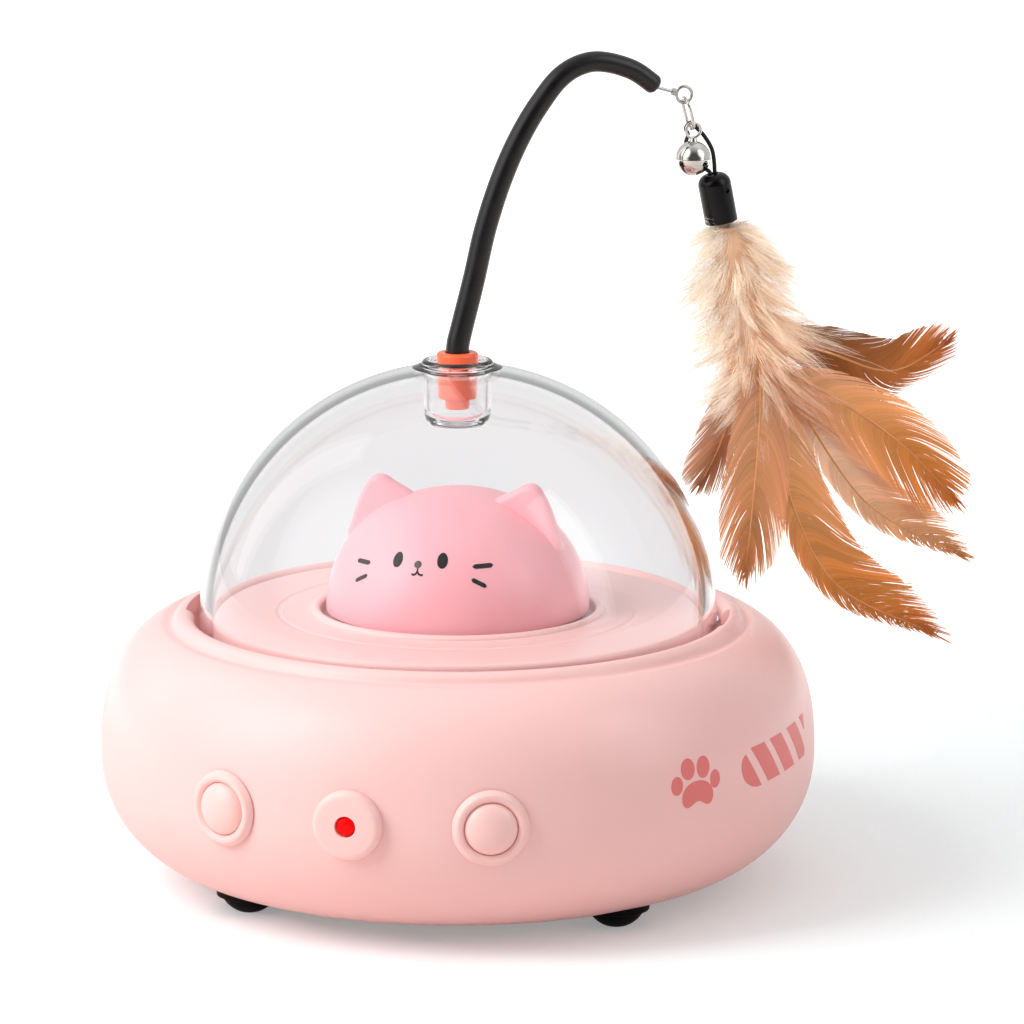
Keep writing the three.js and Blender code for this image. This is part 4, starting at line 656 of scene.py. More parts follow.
lens_red, lens_tree, lens_shader = bare_material("red lens")
fill(lens_tree, lens_shader, {
    "Base Color": two_tone(lens_tree, clouds(lens_tree, 1.2), (214, 0, 3), (230, 0, 4)),
    "Roughness": 0.3,
    "Coat Weight": 0.05,
    "Specular IOR Level": 0.1,
    "Coat Roughness": 0.04,
    "Emission Color": srgb(255, 0, 2),
    "Emission Strength": 0.2,
})
lens = turned(
    "power_lens",
    [(0, seat_gap - boss_stand), (lens_radius, seat_gap - boss_stand)]
    + domed(lens_radius, boss_stand - lens_recess, lens_bulge, 10),
    lens_red,
    64,
)
fitted(on_side(lens, power_bearing), "power_key", "red_lens", "indicator_lens")

# Deck: the pink plastic floor under the dome, moulded with a rounded collar round the head and a
# faint step. It rests on the casing's ledge and hangs the gear frame from three posts.
deck_height, deck_radius, deck_wall, deck_skirt, deck_round = 60.5, 57.5, 2.2, 55.1, 1.4
collar_inner, collar_outer, collar_top, recess = 32.2, 34.6, 61.7, 1.9
collar_foot, collar_foot_rise, collar_foot_rounds = 0.7, 0.2, (0.5, 0.1)
step_radius, step_drop, step_half, step_slope, step_round = 42, 0.2, 0.3, 0.9, 0.3
hub_bore, hub_radius, hub_under = 4.5, 7.9, 52.3
deck_plastic = moulded_plastic("deck plastic", (250, 205, 202), (249, 199, 195), 0.34, 0.1, 0.001)
collar_half = (collar_outer - collar_inner) / 2
deck = turned(
    "deck_floor",
    eased([
        (hub_bore, hub_under),
        (hub_radius, hub_under),
        (hub_radius, deck_height - deck_wall),
        (deck_skirt, deck_height - deck_wall),
        (deck_skirt, channel_floor + seat_gap),
        (deck_radius, channel_floor + seat_gap),
        (deck_radius, deck_height, deck_round),
        (step_radius + step_slope, deck_height, step_round),
        (step_radius + step_half, deck_height - step_drop, step_round),
        (step_radius - step_half, deck_height - step_drop, step_round),
        (step_radius - step_slope, deck_height, step_round),
        (collar_outer + collar_foot, deck_height, collar_foot_rounds[0]),
        (collar_outer, deck_height + collar_foot_rise, collar_foot_rounds[1]),
        *arc(((collar_inner + collar_outer) / 2, collar_top - collar_half), collar_half, 0, 180, 14),
        (collar_inner, deck_height - recess),
        (hub_bore, deck_height - recess),
    ]),
    deck_plastic,
    256,
)
post_radius, post_circle, post_bore, post_base = 3.4, 38, 1.7, 45.8
posts = []
for angle in (30, 150, 270):
    post = turned(
        "deck_post",
        [(post_bore, post_base), (post_radius, post_base), (post_radius, deck_height - deck_wall / 2),
         (post_bore, deck_height - deck_wall / 2)],
        None,
        32,
    )
    turn = math.radians(angle)
    across = Vector((post_circle * math.cos(turn) * MM, post_circle * math.sin(turn) * MM, 0))
    post.data.transform(Matrix.Translation(across))
    posts.append(post)
fitted(combined(deck, *posts), "casing", "blush_plastic", "deck_plate")

# Cat head: a hollow rose moulding with two ears, on a turntable. The face is printed, and the
# dot of the nose is the small dark window that the laser shines through.
head_radius, head_base, head_tall, head_fullness, head_wall = 30.9, 61.0, 28.4, 2.1, 1.8
head_turn = math.radians(-3.3)
ear_thickness, ear_round, ear_setback = 4.6, 1.7, -2
ear_corners = [
    (6.2, 24.0), (10.7, 27.1), (15.1, 29.4), (17.8, 30.8), (20.2, 30.5), (22.1, 28.1),
    (23.95, 24.4), (25.3, 20.4), (26.3, 15.0), (21.6, 12.8), (7.7, 17.0),
]


def head_skin(height):
    """The head's outer radius at a height."""
    share = min(max((height - head_base) / head_tall, 0.0), 1.0)
    return head_radius * (1 - share**head_fullness) ** (1 / head_fullness)


def skull(name, inset, base, material):
    """The head's dome, or the hollow under it."""
    outer, tall = head_radius - inset, head_tall - inset
    top = head_base + head_tall - inset
    line = [
        (outer * math.cos(t) ** (2 / head_fullness), head_base + tall * math.sin(t) ** (2 / head_fullness))
        for t in (math.pi / 2 * k / 40 for k in range(1, 40))
    ]
    return turned(name, [(0, base), (outer, base)] + line + [(0, top)], material, 224)


def ear(side_sign, material):
    """A rounded slab in the shape of an ear, with soft edges."""
    outline = bpy.data.curves.new("ear", "CURVE")
    outline.dimensions = "2D"
    outline.fill_mode = "BOTH"
    line = outline.splines.new("BEZIER")
    line.bezier_points.add(len(ear_corners) - 1)
    for point, (across, up) in zip(line.bezier_points, ear_corners):
        point.co = (side_sign * across * MM, up * MM, 0)
        point.handle_left_type = point.handle_right_type = "AUTO"
    line.use_cyclic_u = True
    line.resolution_u = 6
    outline.offset = -ear_round * MM
    outline.bevel_depth = ear_round * MM
    outline.bevel_resolution = 6
    outline.extrude = (ear_thickness / 2 - ear_round) * MM
    holder = in_scene("ear", outline)
    data = as_shown(holder)
    bpy.data.objects.remove(holder)
    data.transform(Matrix.Translation((0, ear_setback * MM, head_base * MM)) @ upright)
    mesh = bmesh.new()
    mesh.from_mesh(data)
    bmesh.ops.remove_doubles(mesh, verts=mesh.verts, dist=0.00001)
    bmesh.ops.recalc_face_normals(mesh, faces=mesh.faces)
    mesh.to_mesh(data)
    mesh.free()
    data.materials.clear()
    data.materials.append(material)
    return in_scene("ear", data)


def on_head(across, height, lift):
    """A point over the head's face, which is turned with the head."""
    return Matrix.Rotation(head_turn, 3, "Z") @ on_skin(head_skin, head_radius, across, height, lift)


def stroke_rows(points, half, steps=8):
    """Rows across a pen stroke with round ends, along its points."""
    line = []
    for (x0, z0), (x1, z1) in zip(points, points[1:]):
        line += [(x0 + (x1 - x0) * k / steps, z0 + (z1 - z0) * k / steps) for k in range(steps)]
    line.append(points[-1])
    total = sum(math.dist(a, b) for a, b in zip(line, line[1:]))
    rows, gone = [], 0.0
    for i, here in enumerate(line):
        before, after = line[max(i - 1, 0)], line[min(i + 1, len(line) - 1)]
        along = Vector((after[0] - before[0], after[1] - before[1])).normalized()
        if i:
            gone += math.dist(line[i - 1], here)
        end = min(gone, total - gone) / half
        width = half * math.sqrt(max(1 - max(1 - end, 0.0) ** 2, 0.0004))
        rows.append(((here[0] - along.y * width, here[1] + along.x * width),
                     (here[0] + along.y * width, here[1] - along.x * width)))
    return rows


head_plastic = moulded_plastic("head plastic", (255, 182, 190), (253, 175, 184), 0.36, 0.12)
head = skull("cat_head_moulding", 0, head_base, head_plastic)
for side_sign in (-1, 1):
    shaped(head, ear(side_sign, head_plastic), "UNION")
shaped(head, skull("hollow", head_wall, head_base - 2, None), "DIFFERENCE")
head.data.transform(Matrix.Rotation(head_turn, 4, "Z"))
fitted(head, "head", "rose_plastic", "cat_head")

eyes = {"eye_left": ((-6.07, 77.0), 1.42, 1.62, -15), "eye_right": ((6.8, 77.4), 1.48, 1.62, 8)}
nose_stem, nose_place, nose_halves = [(0.28, 76.1), (0.31, 74.95)], (0.15, 76.4), (1.0, 0.76)
mouth = [
    [(0.31, 75.1), (0.16, 74.65), (-0.12, 74.35), (-0.5, 74.22), (-0.85, 74.25), (-1.12, 74.45)],
    [(0.31, 75.1), (0.5, 74.72), (0.86, 74.42), (1.25, 74.26), (1.62, 74.24), (1.98, 74.4)],
]
whiskers = [
    [(-20.35, 75.3), (-14.7, 75.36)],
    [(-18.1, 70.98), (-14.2, 72.83)],
    [(14.8, 76.17), (20.6, 76.36)],
    [(14.35, 73.6), (18.1, 71.87)],
]
stem_half, mouth_half, whisker_half = 0.2, 0.21, 0.48
mouth_lift, mouth_step, window_lift = 0.02, 0.01, 0.05
face_ink = moulded_plastic("face ink", (3, 2, 2), (5, 4, 4), 0.5, 0.0)
face_ink.node_tree.nodes["Principled BSDF"].inputs["Specular IOR Level"].default_value = 0.15
face = [printed(name, oval_rows(*eye), on_head, face_ink) for name, eye in eyes.items()]
face.append(printed("nose_stem", stroke_rows(nose_stem, stem_half), on_head, face_ink))
for i, line in enumerate(mouth):
    lift = film + mouth_lift + mouth_step * i
    face.append(printed(f"mouth_{i}", stroke_rows(line, mouth_half), on_head, face_ink, lift))
for i, line in enumerate(whiskers):
    face.append(printed(f"whisker_{i}", stroke_rows(line, whisker_half), on_head, face_ink))
fitted(combined(*face), "head", "dark_window").name = "face_print"

window_dark = moulded_plastic("window dark", (14, 9, 10), (20, 12, 13), 0.15, 0.5)
window_rows = oval_rows(nose_place, *nose_halves)
window = printed("laser_window", window_rows, on_head, window_dark, film + window_lift)
fitted(window, "head", "dark_window", "nose_window")

# Clear dome: a polished half ball of clear plastic, moulded 3 mm thick. Its short skirt stands in
# the casing's channel, and two lugs lock under the lip.
dome_radius, dome_wall, dome_centre, dome_mouth = 60.8, 3, 58.0, 8.1
skirt_base, skirt_round, polish_patch, smoke = 50.8, 0.6, 30, (0.5, 0.5, 0.5, 1.0)
lug_reach, lug_low, lug_high, lug_span, lock_turn = 2.8, 54.6, 56.4, 12, 24


def worked(tree, operation, first, second):
    """What the operation makes of two values, each a socket or a number."""
    return added(tree, "Math", {0: first, 1: second}, operation=operation).outputs["Value"]


def polished_clear(name, tint, refraction, roughness, murk):
    """Clear plastic that bends what is seen through it, and lets the lamps light what it covers."""
    material, tree, shader = bare_material(name)
    fill(tree, shader, {
        "Base Color": srgb(*tint),
        "Transmission Weight": 1.0,
        "IOR": refraction,
        "Roughness": spread(tree, clouds(tree, polish_patch), 0.0, roughness),
    })
    path = added(tree, "LightPath", {}).outputs
    in_wall = worked(tree, "MODULO", path["Transmission Depth"], 2)
    reflected = worked(tree, "SUBTRACT", path["Is Reflection Ray"], in_wall)
    passing = worked(tree, "MAXIMUM", path["Is Shadow Ray"], reflected)
    through = added(tree, "BsdfTransparent", {}).outputs["BSDF"]
    mix = added(tree, "MixShader", {"Fac": passing, 1: shader.outputs["BSDF"], 2: through})
    depth = added(tree, "VolumeAbsorption", {"Color": smoke, "Density": murk})
    skin = {"Surface": mix.outputs["Shader"], "Volume": depth.outputs["Volume"]}
    fill(tree, tree.nodes["Material Output"], skin)
    return material


dome_clear = polished_clear("dome clear", (253, 254, 255), 1.47, 0.012, 4)
dome_inner = dome_radius - dome_wall
outer_start = math.degrees(math.acos(dome_mouth / dome_radius))
inner_start = math.degrees(math.acos(dome_mouth / dome_inner))
dome = turned(
    "dome_shell",
    eased(
        arc((0, dome_centre), dome_radius, outer_start, 0, 60)
        + [(dome_radius, skirt_base, skirt_round), (dome_inner, skirt_base, skirt_round)]
        + arc((0, dome_centre), dome_inner, 0, inner_start, 60)
    ),
    dome_clear,
    256,
)
for turn in (0, 180):
    lug = ring_piece("lug", dome_radius - dome_wall / 2, dome_radius + lug_reach,
                     notch_bearing + lock_turn + turn, lug_span, lug_low, lug_high)
    shaped(dome, lug, "UNION")
fitted(dome, "dome", "clear_plastic", "clear_dome")

# Cup: a thick clear tumbler, moulded of the same kind of plastic as the dome. Its flange is welded
# over the dome's mouth, and the wand plugs into it.
cup_radius, cup_inner, cup_rim, cup_top = 7.8, 6.3, 8.4, 120.1
cup_floor_top, cup_floor = 105.9, 104.0
cup_flange, cup_flange_wall, cup_round = 10.65, 0.9, 3.0
flange_steps = [
    (cup_flange, -0.1, 0.05), (cup_flange, -0.5, 0.3), (cup_flange, -1.2, 0.5),
    (cup_rim, 0.3, 0.6), (cup_rim, 0, 0.9),
]


def over_dome(radius):
    """The height of the dome's outer skin, with a hair's gap over it."""
    return dome_centre + math.sqrt(dome_radius**2 - radius**2) + seat_gap


cup_clear = polished_clear("cup clear", (253, 253, 254), 1.42, 0.01, 2)
flange_tip = cup_flange - cup_flange_wall / 2
rim_half = (cup_rim - cup_inner) / 2
inner_round = cup_round * 0.8
cup = turned(
    "wand_cup_clear",
    eased(
        [(0, cup_floor)]
        + arc((cup_radius - cup_round, cup_floor + cup_round), cup_round, -90, 0, 10)
        + [(cup_radius, over_dome(cup_radius)), (flange_tip, over_dome(flange_tip))]
        + [(radius + out, over_dome(radius) + up) for radius, out, up in flange_steps]
        + arc(((cup_rim + cup_inner) / 2, cup_top - rim_half), rim_half, 0, 180, 14)
        + arc((cup_inner - inner_round, cup_floor_top + inner_round), inner_round, 0, -90, 8)
        + [(0, cup_floor_top)]
    ),
    cup_clear,
)
fitted(cup, "dome", "clear_plastic", "wand_cup")

# Grip ring: a black rubber ring, moulded in one piece and set in the cup's mouth. It holds the
# plug by its neck.
grip_bore, grip_outer, grip_low, grip_high = 4.62, 6.0, 117.8, 118.85
grip_low_round, grip_top_round = 0.3, 0.4
ring_rubber = soft_black("ring rubber", (12, 12, 13), (20, 20, 21), 0.3)
grip = turned(
    "grip_ring_rubber",
    eased([
        (grip_bore, grip_low, grip_low_round),
        (grip_outer, grip_low, grip_low_round),
        (grip_outer, grip_high, grip_top_round),
        (grip_bore, grip_high, grip_top_round),
    ]),
    ring_rubber,
    small_sides,
)
fitted(grip, "grip", "black_rubber", "cup_grip_ring")

# Plug: orange silicone, moulded in one piece and pushed over the wand's lower end. It has a flange
# over the ring and a nib below.
plug_radius, plug_neck, plug_flange, plug_nib = 4.56, 4.32, 4.9, 2.86
plug_top, plug_flange_low, plug_low, plug_nib_low = 121.8, 119.1, 110.3, 108.0
rod_bore, rod_bore_floor = 2.88, 113.8
plug_silicone = moulded_plastic("plug silicone", (255, 108, 64), (252, 99, 56), 0.33, 0.2)
plug = turned(
    "wand_plug_silicone",
    eased([
        (0, plug_nib_low),
        (plug_nib, plug_nib_low, 0.7),
        (plug_nib, plug_low),
        (plug_radius, plug_low, 0.8),
        (plug_radius, grip_low - seat_gap, 0.15),
        (plug_neck, grip_low - seat_gap, 0.15),
        (plug_neck, plug_flange_low, 0.2),
        (plug_flange, plug_flange_low, 1.25),
        (plug_flange, plug_top, 1.3),
        (rod_bore, plug_top, 0.25),
        (rod_bore, rod_bore_floor),
        (0, rod_bore_floor),
    ], 8),
    plug_silicone,
    small_sides,
)
fitted(plug, "wand", "coral_rubber", "wand_plug")

# Wand: a black rubber rod, moulded in its arch over the dome and set in the plug. Places in its
# upright plane are the distance out from the toy's axis, behind the plane, and the height.
wand_turn = math.radians(34.5)
wand_reach, wand_rise = 49.2, 66.6
rod_root, rod_tip, rod_base, rod_rounding = 2.8, 2.35, 114.1, 0.016
rod_route_shares = [
    (0, 0), (0.004, 0.03), (0.02, 0.078), (0.081, 0.249), (0.142, 0.435), (0.23, 0.621), (0.321, 0.76),
    (0.41, 0.862), (0.51, 0.949), (0.6, 0.988), (0.7, 1), (0.872, 0.965), (1, 0.899),
]


def in_plane(out, behind, height):
    """A place on the wand in the row's frame, in millimetres."""
    return Vector((
        out * math.cos(wand_turn) - behind * math.sin(wand_turn),
        out * math.sin(wand_turn) + behind * math.cos(wand_turn),
        height,
    ))


def smooth_route(points, per_span=12, closed=False):
    """A smooth curve through the points, spaced by the square roots of their distances."""
    count = len(points)
    route = []
    for i in range(count if closed else count - 1):
        if closed:
            before, start, end, after = (points[(i + k) % count] for k in (-1, 0, 1, 2))
        else:
            start, end = points[i], points[i + 1]
            before = points[i - 1] if i else start * 2 - end
            after = points[i + 2] if i + 2 < count else end * 2 - start
        knots = [0.0]
        for a, b in ((before, start), (start, end), (end, after)):
            knots.append(knots[-1] + max((b - a).length, 1e-6) ** 0.5)
        for k in range(per_span):
            t = knots[1] + (knots[2] - knots[1]) * k / per_span

            def between(a, b, low, high):
                return a * ((high - t) / (high - low)) + b * ((t - low) / (high - low))

            first = between(before, start, knots[0], knots[1])
            second = between(start, end, knots[1], knots[2])
            third = between(end, after, knots[2], knots[3])
            left = between(first, second, knots[0], knots[2])
            right = between(second, third, knots[1], knots[3])
            route.append(between(left, right, knots[1], knots[2]))
    if not closed:
        route.append(points[-1])
    return route


def tube(name, route, radius_at, material, sides=24, closed=False):
    """A round skin along a route in millimetres; its radius follows the share of the way."""
    mesh = bmesh.new()
    count = len(route)
    normal = None
    rings = []
    for i, centre in enumerate(route):
        ahead = route[(i + 1) % count] if closed else route[min(i + 1, count - 1)]
        back = route[i - 1] if closed else route[max(i - 1, 0)]
        along = (ahead - back).normalized()
        if normal is None:
            normal = along.orthogonal().normalized()
        normal = (normal - along * normal.dot(along)).normalized()
        side_way = along.cross(normal)
        radius = radius_at(i / max(count - 1, 1))
        rings.append([
            mesh.verts.new(centre + (normal * math.cos(t) + side_way * math.sin(t)) * radius)
            for t in full_turn(sides)
        ])
    if closed:
        start = min(range(sides), key=lambda k: (rings[0][k].co - rings[-1][0].co).length)
        rings.append(rings[0][start:] + rings[0][:start])
    skinned(mesh, rings)
    if not closed:
        mesh.faces.new(rings[0][::-1])
        mesh.faces.new(rings[-1])
    return as_piece(name, mesh, material, 50)


behind_plane = in_plane(0, 1, 0)
rod_rubber = soft_black("rod rubber", (12, 12, 13), (18, 18, 19), 0.3, 0.4)
rod_points = [in_plane(0, 0, rod_base)] + [
    in_plane(out * wand_reach, 0, plug_top + up * wand_rise) for out, up in rod_route_shares
]
rod_route = smooth_route(rod_points, 14)


def rod_radius(share):
    """The rod tapers a little, and its end is rounded off."""
    left = (1 - share) / rod_rounding
    return (rod_root + (rod_tip - rod_root) * share) * math.sqrt(max(1 - max(1 - left, 0.0) ** 2, 0.02))


fitted(tube("wand_rod_rubber", rod_route, rod_radius, rod_rubber, 40), "wand", "black_rubber", "wand_rod")

# Wire: springy steel, moulded into the rod's end and bent to an eye for the snap link. Its end is
# wound round its own root.
eye_radius, wire_radius, wire_lead, wire_drop, wire_root = 1.9, 0.4, 4.6, 1.9, 1.2
eye_closed, eye_shank, binding_gap, binding_pitch, binding_wire = 0.97, 0.7, 0.2, 0.25, 0.25
spring_steel = worked_metal("spring steel", (196, 196, 194), (168, 168, 166), 0.18)
rod_end = rod_points[-1]
eye_out = wand_reach + wire_lead + eye_radius
eye_height = plug_top + rod_route_shares[-1][1] * wand_rise - wire_drop
eye_centre = in_plane(eye_out, 0, eye_height)
towards_eye = (eye_centre - rod_end).normalized()
square_to_eye = behind_plane.cross(towards_eye).normalized()
wire_start = rod_end - towards_eye * wire_root
eye_turns = [math.pi + 2 * math.pi * k / 24 * eye_closed for k in range(25)]
eye_ring = [
    eye_centre + towards_eye * eye_radius * math.cos(t) + square_to_eye * eye_radius * math.sin(t)
    for t in eye_turns
]
wire_route = smooth_route([wire_start, eye_centre - towards_eye * (eye_radius + eye_shank)] + eye_ring, 4)
wire = tube("wand_wire_steel", wire_route, lambda share: wire_radius, spring_steel, 14)
binding_route = smooth_route([
    eye_centre - towards_eye * (eye_radius + binding_gap + binding_pitch * k / 6)
    + (square_to_eye * math.cos(k * math.pi / 3) + behind_plane * math.sin(k * math.pi / 3))
    * (wire_radius + binding_wire)
    for k in range(25)
], 3)
binding = tube("wire_binding", binding_route, lambda share: binding_wire, spring_steel, 8)
fitted(combined(wire, binding), "wand", "steel", "wand_wire")

# Snap link: a long ring bent of nickel-plated wire. It hangs in the eye and carries the bell and
# the teaser.
link_radius, link_half, link_length, link_lean = 0.42, 2.3, 7.6, math.radians(15)
clearance = 0.3
plated_nickel = worked_metal("plated nickel", (214, 212, 207), (196, 194, 188), 0.09)
link_top_height = eye_height - eye_radius + wire_radius + link_radius + clearance
link_low_out = eye_out + link_length * math.sin(link_lean)
link_low = link_top_height - link_length * math.cos(link_lean)
straight = link_length / 2 - link_half
link_points = []
for end, shift in ((0, straight), (1, -straight)):
    for k in range(13):
        turn = math.pi * (end + k / 12)
        link_points.append((link_half * math.cos(turn), link_half * math.sin(turn) + shift))
link_middle_out, link_middle = (eye_out + link_low_out) / 2, (link_top_height + link_low) / 2
link_route = [
    in_plane(link_middle_out - up * math.sin(link_lean), behind, link_middle + up * math.cos(link_lean))
    for behind, up in link_points
]
link = tube("snap_link_ring", smooth_route(link_route, 2, True), lambda share: link_radius,
            plated_nickel, 14, True)
fitted(link, "link", "nickel", "snap_link")

# Jingle bell: a nickel-plated ball pressed from two cups, with crossed slots that end in round
# holes, a pellet inside and a wire eye on top.
bell_radius, bell_wall, bell_eye, bell_eye_wire, bell_aside, bell_neck = 4.1, 0.55, 1.8, 0.35, 1.0, 0.7
slot_width, slot_end, slot_hole, bell_turn = 0.9, -1.1, 0.85, math.radians(27)
seam_lip, seam_dip, seam_half, neck_foot, neck_top = 0.02, 0.1, 0.12, 1.0, 0.75


def hung(aside, radius):
    """How high a wire rests in the link's round end, off to one side."""
    return link_half - math.sqrt((link_half - link_radius - radius - clearance) ** 2 - aside**2)


def cross_bar(radius, length, sides, place, turn=0.0):
    """A round bar along Y, moved to a place and then turned about Z, to cut a hole with."""
    bar = bmesh.new()
    bmesh.ops.create_cone(bar, segments=sides, radius1=radius, radius2=radius, depth=length, cap_ends=True)
    bmesh.ops.rotate(bar, cent=(0, 0, 0), matrix=Matrix.Rotation(math.pi / 2, 3, "X"), verts=bar.verts)
    bmesh.ops.translate(bar, vec=place, verts=bar.verts)
    bmesh.ops.rotate(bar, cent=(0, 0, 0), matrix=Matrix.Rotation(turn, 3, "Z"), verts=bar.verts)
    return as_piece("bar", bar, None)


bell_eye_height = link_low + hung(bell_aside, bell_eye_wire) - bell_eye
bell_height = bell_eye_height - bell_eye - bell_neck - bell_radius
bell_place = Matrix.Translation(in_plane(link_low_out, -bell_aside, bell_height) * MM) @ Matrix.Rotation(
    wand_turn + bell_turn, 4, "Z")
bell_ball = turned(
    "bell_ball",
    arc((0, 0), bell_radius, -90, -4, 22)
    + [
        (bell_radius + seam_lip, -seam_half),
        (bell_radius - seam_dip, 0),
        (bell_radius + seam_lip, seam_half),
    ]
    + arc((0, 0), bell_radius, 4, 90, 22)
    + arc((0, 0), bell_radius - bell_wall, 90, -90, 40),
    plated_nickel,
    96,
)
for turn in (0, math.radians(90)):
    slot = bmesh.new()
    bmesh.ops.create_cube(slot, size=1)
    bmesh.ops.scale(slot, vec=(slot_width, 3 * bell_radius, 2 * bell_radius), verts=slot.verts)
    bmesh.ops.translate(slot, vec=(0, 0, slot_end - bell_radius), verts=slot.verts)
    bmesh.ops.rotate(slot, cent=(0, 0, 0), matrix=Matrix.Rotation(turn, 3, "Z"), verts=slot.verts)
    shaped(bell_ball, as_piece("slot", slot, None), "DIFFERENCE")
    shaped(bell_ball, cross_bar(slot_hole, 3 * bell_radius, 32, (0, 0, slot_end), turn), "DIFFERENCE")
bell_neck_ring = turned(
    "bell_neck",
    [
        (0, bell_radius - bell_wall / 2),
        (neck_foot, bell_radius - bell_wall / 2),
        (neck_top, bell_radius + bell_neck),
        (0, bell_radius + bell_neck),
    ],
    plated_nickel,
    32,
)
eye_route = [
    Vector((bell_eye * math.cos(t), 0, bell_radius + bell_neck + bell_eye + bell_eye * math.sin(t)))
    for t in full_turn(40)
]
bell_eye_ring = tube("bell_eye", eye_route, lambda share: bell_eye_wire, plated_nickel, 12, True)
for part in (bell_ball, bell_neck_ring):
    part.data.transform(bell_place)
bell_eye_ring.data.transform(bell_place @ Matrix.Rotation(-bell_turn, 4, "Z"))
fitted(combined(bell_ball, bell_neck_ring, bell_eye_ring), "bell", "nickel", "bell")
dress(screw_steel, "bell_pellet")

# Elastic loop: thin black elastic cord with both ends held in the cap. It runs out of the cap,
# behind the bell, through the link and back.
cord_radius, cord_aside = 0.5, 0.6
loop_height, loop_lean, loop_bulge, loop_foot = 12.2, 5.2, 4.4, 2.9
cap_radius, cap_length, cap_lean = 3.9, 11.8, math.radians(11.4)
loop_rise_shares = [(0.46, 0.78, 0.87), (0.12, 1.12, 0.67), (0.0, 0.96, 0.45), (-0.06, 0.42, 0.24)]
loop_fall_shares = [(0.55, 0.05, 0.24), (0.96, 0, 0.53), (1.08, 0, 0.8)]
loop_top = link_low + hung(cord_aside, cord_radius)
cap_out, cap_height = link_low_out + loop_lean, loop_top - loop_height


def in_cap(across, down, behind=0.0):
    """A place by the cap's own axis: across it in the wand's plane, and down it."""
    return in_plane(
        cap_out + across * math.cos(cap_lean) + down * math.sin(cap_lean),
        behind,
        cap_height + across * math.sin(cap_lean) - down * math.cos(cap_lean),
    )


def loop_place(shares):
    """A place of the loop from its shares of lean, bulge and height."""
    lean, bulge, height = shares
    return in_plane(link_low_out + lean * loop_lean, bulge * loop_bulge, loop_top - height * loop_height)


crown_half = link_radius + cord_radius + 1.3 * clearance
crown = [
    in_plane(link_low_out + out, cord_aside, loop_top - abs(out)) for out in (-crown_half, 0, crown_half)
]
loop_leg = cord_radius + clearance / 2
loop_points = (
    [in_cap(-loop_leg, depth) for depth in (loop_foot, loop_foot / 2, -cord_radius)]
    + [loop_place(shares) for shares in loop_rise_shares]
    + crown
    + [loop_place(shares) for shares in loop_fall_shares]
    + [in_cap(loop_leg, depth) for depth in (-cord_radius, loop_foot / 2, loop_foot)]
)
cord_black = soft_black("cord black", (14, 14, 15), (22, 22, 23), 0.36)
loop = tube("teaser_loop_cord", smooth_route(loop_points, 8), lambda share: cord_radius, cord_black, 16)
fitted(loop, "teaser", "black_rubber", "teaser_loop")

# Cap: a black rubber thimble, moulded in one piece, that grips loop, down and feathers. It has a
# small vent hole in its side.
cap_rubber = soft_black("cap rubber", (4, 4, 5), (7, 7, 8), 0.2, 0.2)
cap_shoulder, cap_bore, cap_bore_edge, cap_bore_depth = 2.7, 1.3, 0.05, 3.2
cap_socket, cap_socket_depth = 3.3, 4
vent_radius, vent_length, vent_place = 0.55, 4, (1.7, -4.6, -4.2)
cap = turned(
    "teaser_cap_rubber",
    eased([
        (cap_socket, cap_socket_depth - cap_length),
        (cap_socket, -cap_length, 0.15),
        (cap_radius, -cap_length, 0.25),
        *arc((cap_radius - cap_shoulder, -cap_shoulder), cap_shoulder, 0, 78, 16),
        (cap_bore, -cap_bore_edge, 0.15),
        (cap_bore, -cap_bore_depth),
        (0, -cap_bore_depth),
        (0, cap_socket_depth - cap_length),
    ], 12),
    cap_rubber,
    72,
)
cap_place = Matrix.Translation(in_plane(cap_out, 0, cap_height) * MM) @ Matrix.Rotation(
    wand_turn, 4, "Z") @ Matrix.Rotation(-cap_lean, 4, "Y")
shaped(cap, cross_bar(vent_radius, vent_length, 24, vent_place), "DIFFERENCE")
cap.data.transform(cap_place)
fitted(cap, "teaser", "black_rubber", "teaser_cap")

# Down: cream to tan marabou that is held in the cap and fans out of it. It is a soft core and
# thousands of fine barbs that leave the middle and sweep down and out. Painted shade makes it
# browner on its right side and inside, and it is darker towards the bottom.
down_length, down_reach, down_flatness, down_start = 49, 19.5, 0.72, 0.9
down_shares = [
    (0.0, 0.03, 0.4), (0.06, 0.06, 0.68), (0.16, 0.075, 0.78), (0.38, 0.095, 0.9), (0.63, 0.18, 1.12),
    (0.85, 0.22, 1.1), (1, 0.25, 0.9),
]
cap_low_out = cap_out + cap_length * math.sin(cap_lean)
cap_low = cap_height - cap_length * math.cos(cap_lean)
# Painted shade along each barb and hair: darker at its root, lighter at its tip.
painted_root_shade, painted_tip_light = 0.86, 1.06


def between_rows(rows, share):
    """Numbers read between the rows of a table whose first column rises."""
    share = min(max(share, rows[0][0]), rows[-1][0])
    for near, far in zip(rows, rows[1:]):
        if share <= far[0]:
            part = (share - near[0]) / (far[0] - near[0])
            return [a + (b - a) * part for a, b in zip(near[1:], far[1:])]
    return list(rows[-1][1:])


def down_place(share, turn, reach):
    """A place in the down: the share of its length, the turn round it, the share of its half width."""
    shift, half = between_rows(down_shares, share)
    wide = half * down_reach * reach
    return in_plane(
        cap_low_out + shift * down_length + wide * math.cos(turn),
        wide * down_flatness * math.sin(turn),
        cap_low - share * down_length - down_start,
    )


